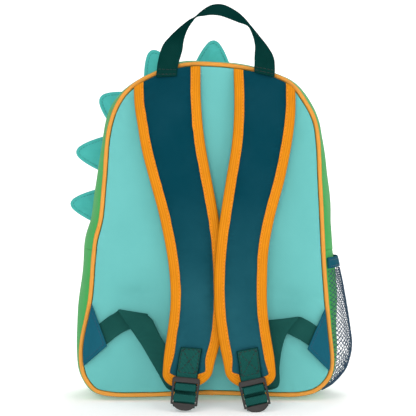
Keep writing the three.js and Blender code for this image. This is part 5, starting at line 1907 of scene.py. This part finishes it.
# %% The knitted net
net_top = band_low * pocket_length - 0.6
net_points, net_edges = [], []
for slant, lift in ((1, 0.45), (-1, 0.95)):
    first = -math.ceil(pocket_width / NET_PITCH) if slant > 0 else 0
    last = math.ceil((net_top + (pocket_width if slant < 0 else 0)) / NET_PITCH)
    for number in range(first, last):
        across = np.arange(0, pocket_width + 0.01, NET_PITCH / 3)
        up = number * NET_PITCH + slant * across
        inside = (up >= 0) & (up <= net_top)
        if inside.sum() < 2:
            continue
        t = across[inside] / pocket_width
        s = up[inside] / pocket_length
        wobble = relief("net wobble", up[inside], across[inside], number % 7)
        start = len(net_points)
        net_points.extend(pocket_layer(s, t, lift + wobble))
        net_edges.extend((k, k + 1) for k in range(start, len(net_points) - 1))
pocket_net = grow(
    "net_threads", net_points, net_edges, {}, THREAD_TREE, Radius=NET_THREAD * MM, Finish=net_thread
)
dress(pocket_net, "net", "pocket_net")

# %% [markdown]
# ## The zip
#
# A coil zip: a spiral of nylon sewn along the edge of each tape, the two sides meshing in the middle.
# Each turn of the coil shows as a small rounded bar. The slider is a small shoe with a pull on a bridge.

# %% The tape and its coils
ZIP_TAPE_WALL = 1.2
ZIP_CHAIN_WIDTH = 5.0
ZIP_CHAIN_RISE = 1.6
ZIP_COIL_PITCH = 1.7
COIL_LENGTH = 3.0
COIL_WIDTH = 1.25

zip_u = np.linspace(zip_right + wall_gap, zip_left - wall_gap, 300)[:, None]
zip_v = np.linspace(zip_back + GAP / WALL_SPAN, zip_front - GAP / WALL_SPAN, 15)[None]
tape_top = wall_point(zip_u, zip_v, -GUSSET_WALL / 2 + 0 * zip_u)
tape_low = wall_point(zip_u, zip_v, -GUSSET_WALL / 2 - ZIP_TAPE_WALL)[:, ::-1]
zip_cloth = sweep("zip_tape_cloth", np.concatenate([tape_top, tape_low], axis=1), zip_tape)
dress(zip_cloth, "zip_tape", "zip_chain")

coil_steps = int((zip_left - zip_right) * seam.length / ZIP_COIL_PITCH)
coil_u = zip_right + (zip_left - zip_right) * (np.arange(coil_steps) + 0.5) / coil_steps
coil_points, coil_headings, coil_facings = [], [], []
for sign in (-1, 1):
    u = coil_u + sign * ZIP_COIL_PITCH / 4 / seam.length
    v = ZIP_PLACE + sign * ZIP_CHAIN_WIDTH / 4 / WALL_SPAN
    coil_points.append(wall_point(u, v, -GUSSET_WALL / 2 + ZIP_CHAIN_RISE / 2))
    coil_headings.append(np.tile([0, 1, 0], (coil_steps, 1)))
    coil_facings.append(seam_outward(u))
coils = grow(
    "zip_coils", np.vstack(coil_points), [],
    {"heading": np.vstack(coil_headings), "facing": np.vstack(coil_facings)}, BAR_TREE,
    Length=COIL_LENGTH * MM, Width=COIL_WIDTH * MM, Height=ZIP_CHAIN_RISE * MM, Finish=zip_plastic,
)
dress(coils, "zip_tape")

# %% The slider and its pull
SLIDER_LENGTH = 11.0
SLIDER_WIDTH = 8.5
SLIDER_HEIGHT = 3.0
SLIDER_HUG = -0.1  # the slider rides on the coils
PULL_LENGTH = 26.0
PULL_WIDTH = 6.0
PULL_WALL = 1.8


def rounded_bar(length, width, end_width, corner=1.2):
    """A loop of points round a tapered bar with rounded corners, from its top end down."""
    loop = []
    for x, a, start in (
        (width / 2, 0, -90), (end_width / 2, length, 0), (-end_width / 2, length, 90), (-width / 2, 0, 180),
    ):
        middle = (x - math.copysign(corner, x), a + (corner if a == 0 else -corner))
        for turn in np.radians(np.linspace(start, start + 90, 6)):
            loop.append((middle[0] + corner * math.cos(turn), middle[1] + corner * math.sin(turn)))
    return loop


pull_u = zip_left - (SLIDER_LENGTH + PULL_LENGTH) / seam.length
slider_up = seam_outward(np.array(pull_u))
slider_along = seam.heading(np.array(pull_u))
slider_across = np.array([0.0, 1.0, 0.0])
chain_top = ZIP_CHAIN_RISE - GUSSET_WALL / 2 + SLIDER_HUG
slider_middle = wall_point(pull_u, ZIP_PLACE, chain_top + SLIDER_HEIGHT / 2)
# Each part: its outline, its holes, its thickness, how far along the zip it starts and how high it lies.
slider_parts = [
    (
        rounded_bar(SLIDER_LENGTH, SLIDER_WIDTH, SLIDER_WIDTH * 0.7), [], 1.3, -SLIDER_LENGTH / 2,
        -SLIDER_HEIGHT / 2 + 0.65,
    ),
    (rounded_bar(SLIDER_LENGTH * 0.8, 3.0, 3.0), [], 2.0, -SLIDER_LENGTH * 0.4, SLIDER_HEIGHT / 2 - 1.0),
    (
        rounded_bar(PULL_LENGTH, PULL_WIDTH, PULL_WIDTH * 1.3, 2.0),
        [[(x, a + 2.5) for x, a in rounded_bar(4.5, 2.6, 2.6, 0.8)]],
        PULL_WALL, SLIDER_LENGTH / 2 - 1.5, SLIDER_HEIGHT / 2 - PULL_WALL / 2,
    ),
]
points, faces, start = [], [], 0
for outline, holes, wall, shift, height in slider_parts:
    local, part_faces = flat_part([outline, *holes], wall, min(0.45, wall / 3))
    spots = slider_across * local[:, :1] + slider_along * (local[:, 1:2] + shift)
    points.append(slider_middle + spots + slider_up * (local[:, 2:3] + height))
    faces += [tuple(k + start for k in face) for face in part_faces]
    start += len(local)
points = np.vstack(points)
slider = make_piece("zip_slider_and_pull", points, faces, points[:, [1, 2]], buckle_plastic, sharp=50)
dress(slider, "plastic", "zip_slider")

# %% [markdown]
# ## The stitches
#
# A lockstitch shows as short rounded lengths of thread, about three millimetres each, that dip into the
# cloth at both ends. Each row is a line on the surface with the direction that the surface faces there,
# and stitches are set out along it by length.

# %% Rows of stitches
STITCH = 2.9
STITCH_GAP = 0.5
THREAD_LIFT = 0.1  # how far over the cloth the middle of a thread lies


class Stitches:
    """Rows of stitches in one thread, grown together as one piece."""

    def __init__(self, name, thread, slot, width=0.75):
        self.name, self.thread, self.slot, self.width = name, thread, slot, width
        self.points, self.headings, self.facings = [], [], []

    def row(self, line, facing):
        line = np.asarray(line, float)
        facing = np.broadcast_to(np.asarray(facing, float), line.shape)
        run = run_along(line)
        count = max(int(run[-1] / (STITCH + STITCH_GAP)), 1)
        at = (np.arange(count) + 0.5) * run[-1] / count

        def along(rows, where):
            return np.stack([np.interp(where, run, rows[:, k]) for k in range(3)], -1)

        self.points.append(along(line, at))
        self.headings.append(unit(along(line, at + 1) - along(line, at - 1)))
        self.facings.append(unit(along(facing, at)))

    def grow(self):
        piece = grow(
            self.name, np.vstack(self.points), [],
            {"heading": np.vstack(self.headings), "facing": np.vstack(self.facings)}, BAR_TREE,
            Length=STITCH * MM, Width=self.width * MM, Height=self.width * 0.8 * MM, Finish=self.thread,
        )
        return dress(piece, self.slot)


binding_stitches = Stitches("binding_stitches", orange_thread, "binding_tape")
for strap in straps.values():
    place, inward, out, puff, down = strap_rim(strap)
    for sign in (1, -1):
        height = STRAP_EDGE / 2 * puff[:, None] + GAP + BINDING_WALL - (0.15 if sign > 0 else 0)
        line = place + inward * corner_hem(place, BINDING_STITCH) + sign * height * out
        line = strap.arched(line, down)
        binding_stitches.row(line[3:-3], sign * out[3:-3])
binding_stitches.grow()

# %% Stitches of the webbing: a crossed box on each patch and rows on the handle's feet
PATCH_MARGIN = 1.8
PATCH_BOX_END = -4.5

webbing_stitches = Stitches("webbing_stitches", dark_thread, "webbing", width=0.8)
for seat in seats.values():
    half = WEBBING_WIDTH / 2 - PATCH_MARGIN
    top, low = -PATCH_LENGTH + PATCH_MARGIN, PATCH_BOX_END
    corners = [(-half, top), (half, top), (half, low), (-half, low)]
    paths = [(corners[k], corners[(k + 1) % 4]) for k in range(4)]
    paths += [(corners[0], corners[2]), (corners[1], corners[3])]
    for start, end in paths:
        spots = np.linspace(start, end, 12)
        high = PATCH_OVER + WEBBING_WALL / 2 + THREAD_LIFT
        line = seat(spots[:, 0], spots[:, 1], high)
        webbing_stitches.row(line, seat(spots[:, 0], spots[:, 1], high + 1) - line)
HANDLE_ROWS = (0.012, 0.03)  # shares of the handle's length
for share in HANDLE_ROWS:
    for place in (share, 1 - share):
        k = int(place * (len(handle_middles) - 1))
        middle, half = handle_middles[k], handle_halves[k] * 0.9
        line = np.linspace(middle - half, middle + half, 8)
        line[:, 1] -= WEBBING_WALL / 2 + THREAD_LIFT
        webbing_stitches.row(line, [0, -1, 0])
webbing_stitches.grow()

# %% Stitches of the tabs and the pocket's band
tab_stitches = Stitches("tab_stitches", navy_thread, "navy_fabric")
for side in TAB_TABLE:
    foot, corner = tab_corners(side)
    middle = (foot[0] + foot[-1] + corner) / 3
    reach = 1 - TAB_HEM / min(distance_to(middle, foot[-1], corner), distance_to(middle, corner, foot[0]))
    inner = [middle + (p - middle) * reach for p in (foot[-1], corner, foot[0])]
    for start, end in zip(inner, inner[1:]):
        line = np.linspace(start, end, 12)
        line[:, 1] -= TAB_WALL / 2 - 0.1
        tab_stitches.row(line, [0, -1, 0.1])
for s in (band_low + 0.015, 1 - 0.015):
    t = np.linspace(0.02, 0.98, 80)
    line = pocket_layer(np.full(80, s), t, POCKET_BAND_WALL + 0.05)
    tab_stitches.row(line, line - pocket_layer(np.full(80, s), t, 0.0))
tab_stitches.grow()

# %% Stitches round the plates
plate_stitches = Stitches("plate_stitches", teal_thread, "plate_fabric", width=0.7)
for row in SPIKE_TABLE:
    rim, heart, free = spike_rim(row, SPIKE_HEM)
    for sign in (-1, 1):
        line = rim[4:free - 4].copy()
        line[:, 1] = SPIKE_MIDDLE_Y + sign * (SPIKE_EDGE / 2 - 0.05)
        plate_stitches.row(line, [0, sign, 0])
plate_stitches.grow()

# %% Stitches beside the zip
ZIP_STITCH_INSET = 1.8

wall_stitches = Stitches("wall_stitches", green_thread, "body_fabric", width=0.7)
for v in (zip_back - ZIP_STITCH_INSET / WALL_SPAN, zip_front + ZIP_STITCH_INSET / WALL_SPAN):
    u = np.linspace(zip_right + 0.003, zip_left - 0.003, 500)
    line = wall_point(u, v, wall_creases(u, np.full_like(u, v)) + THREAD_LIFT)
    wall_stitches.row(line, seam_outward(u))
wall_stitches.grow()
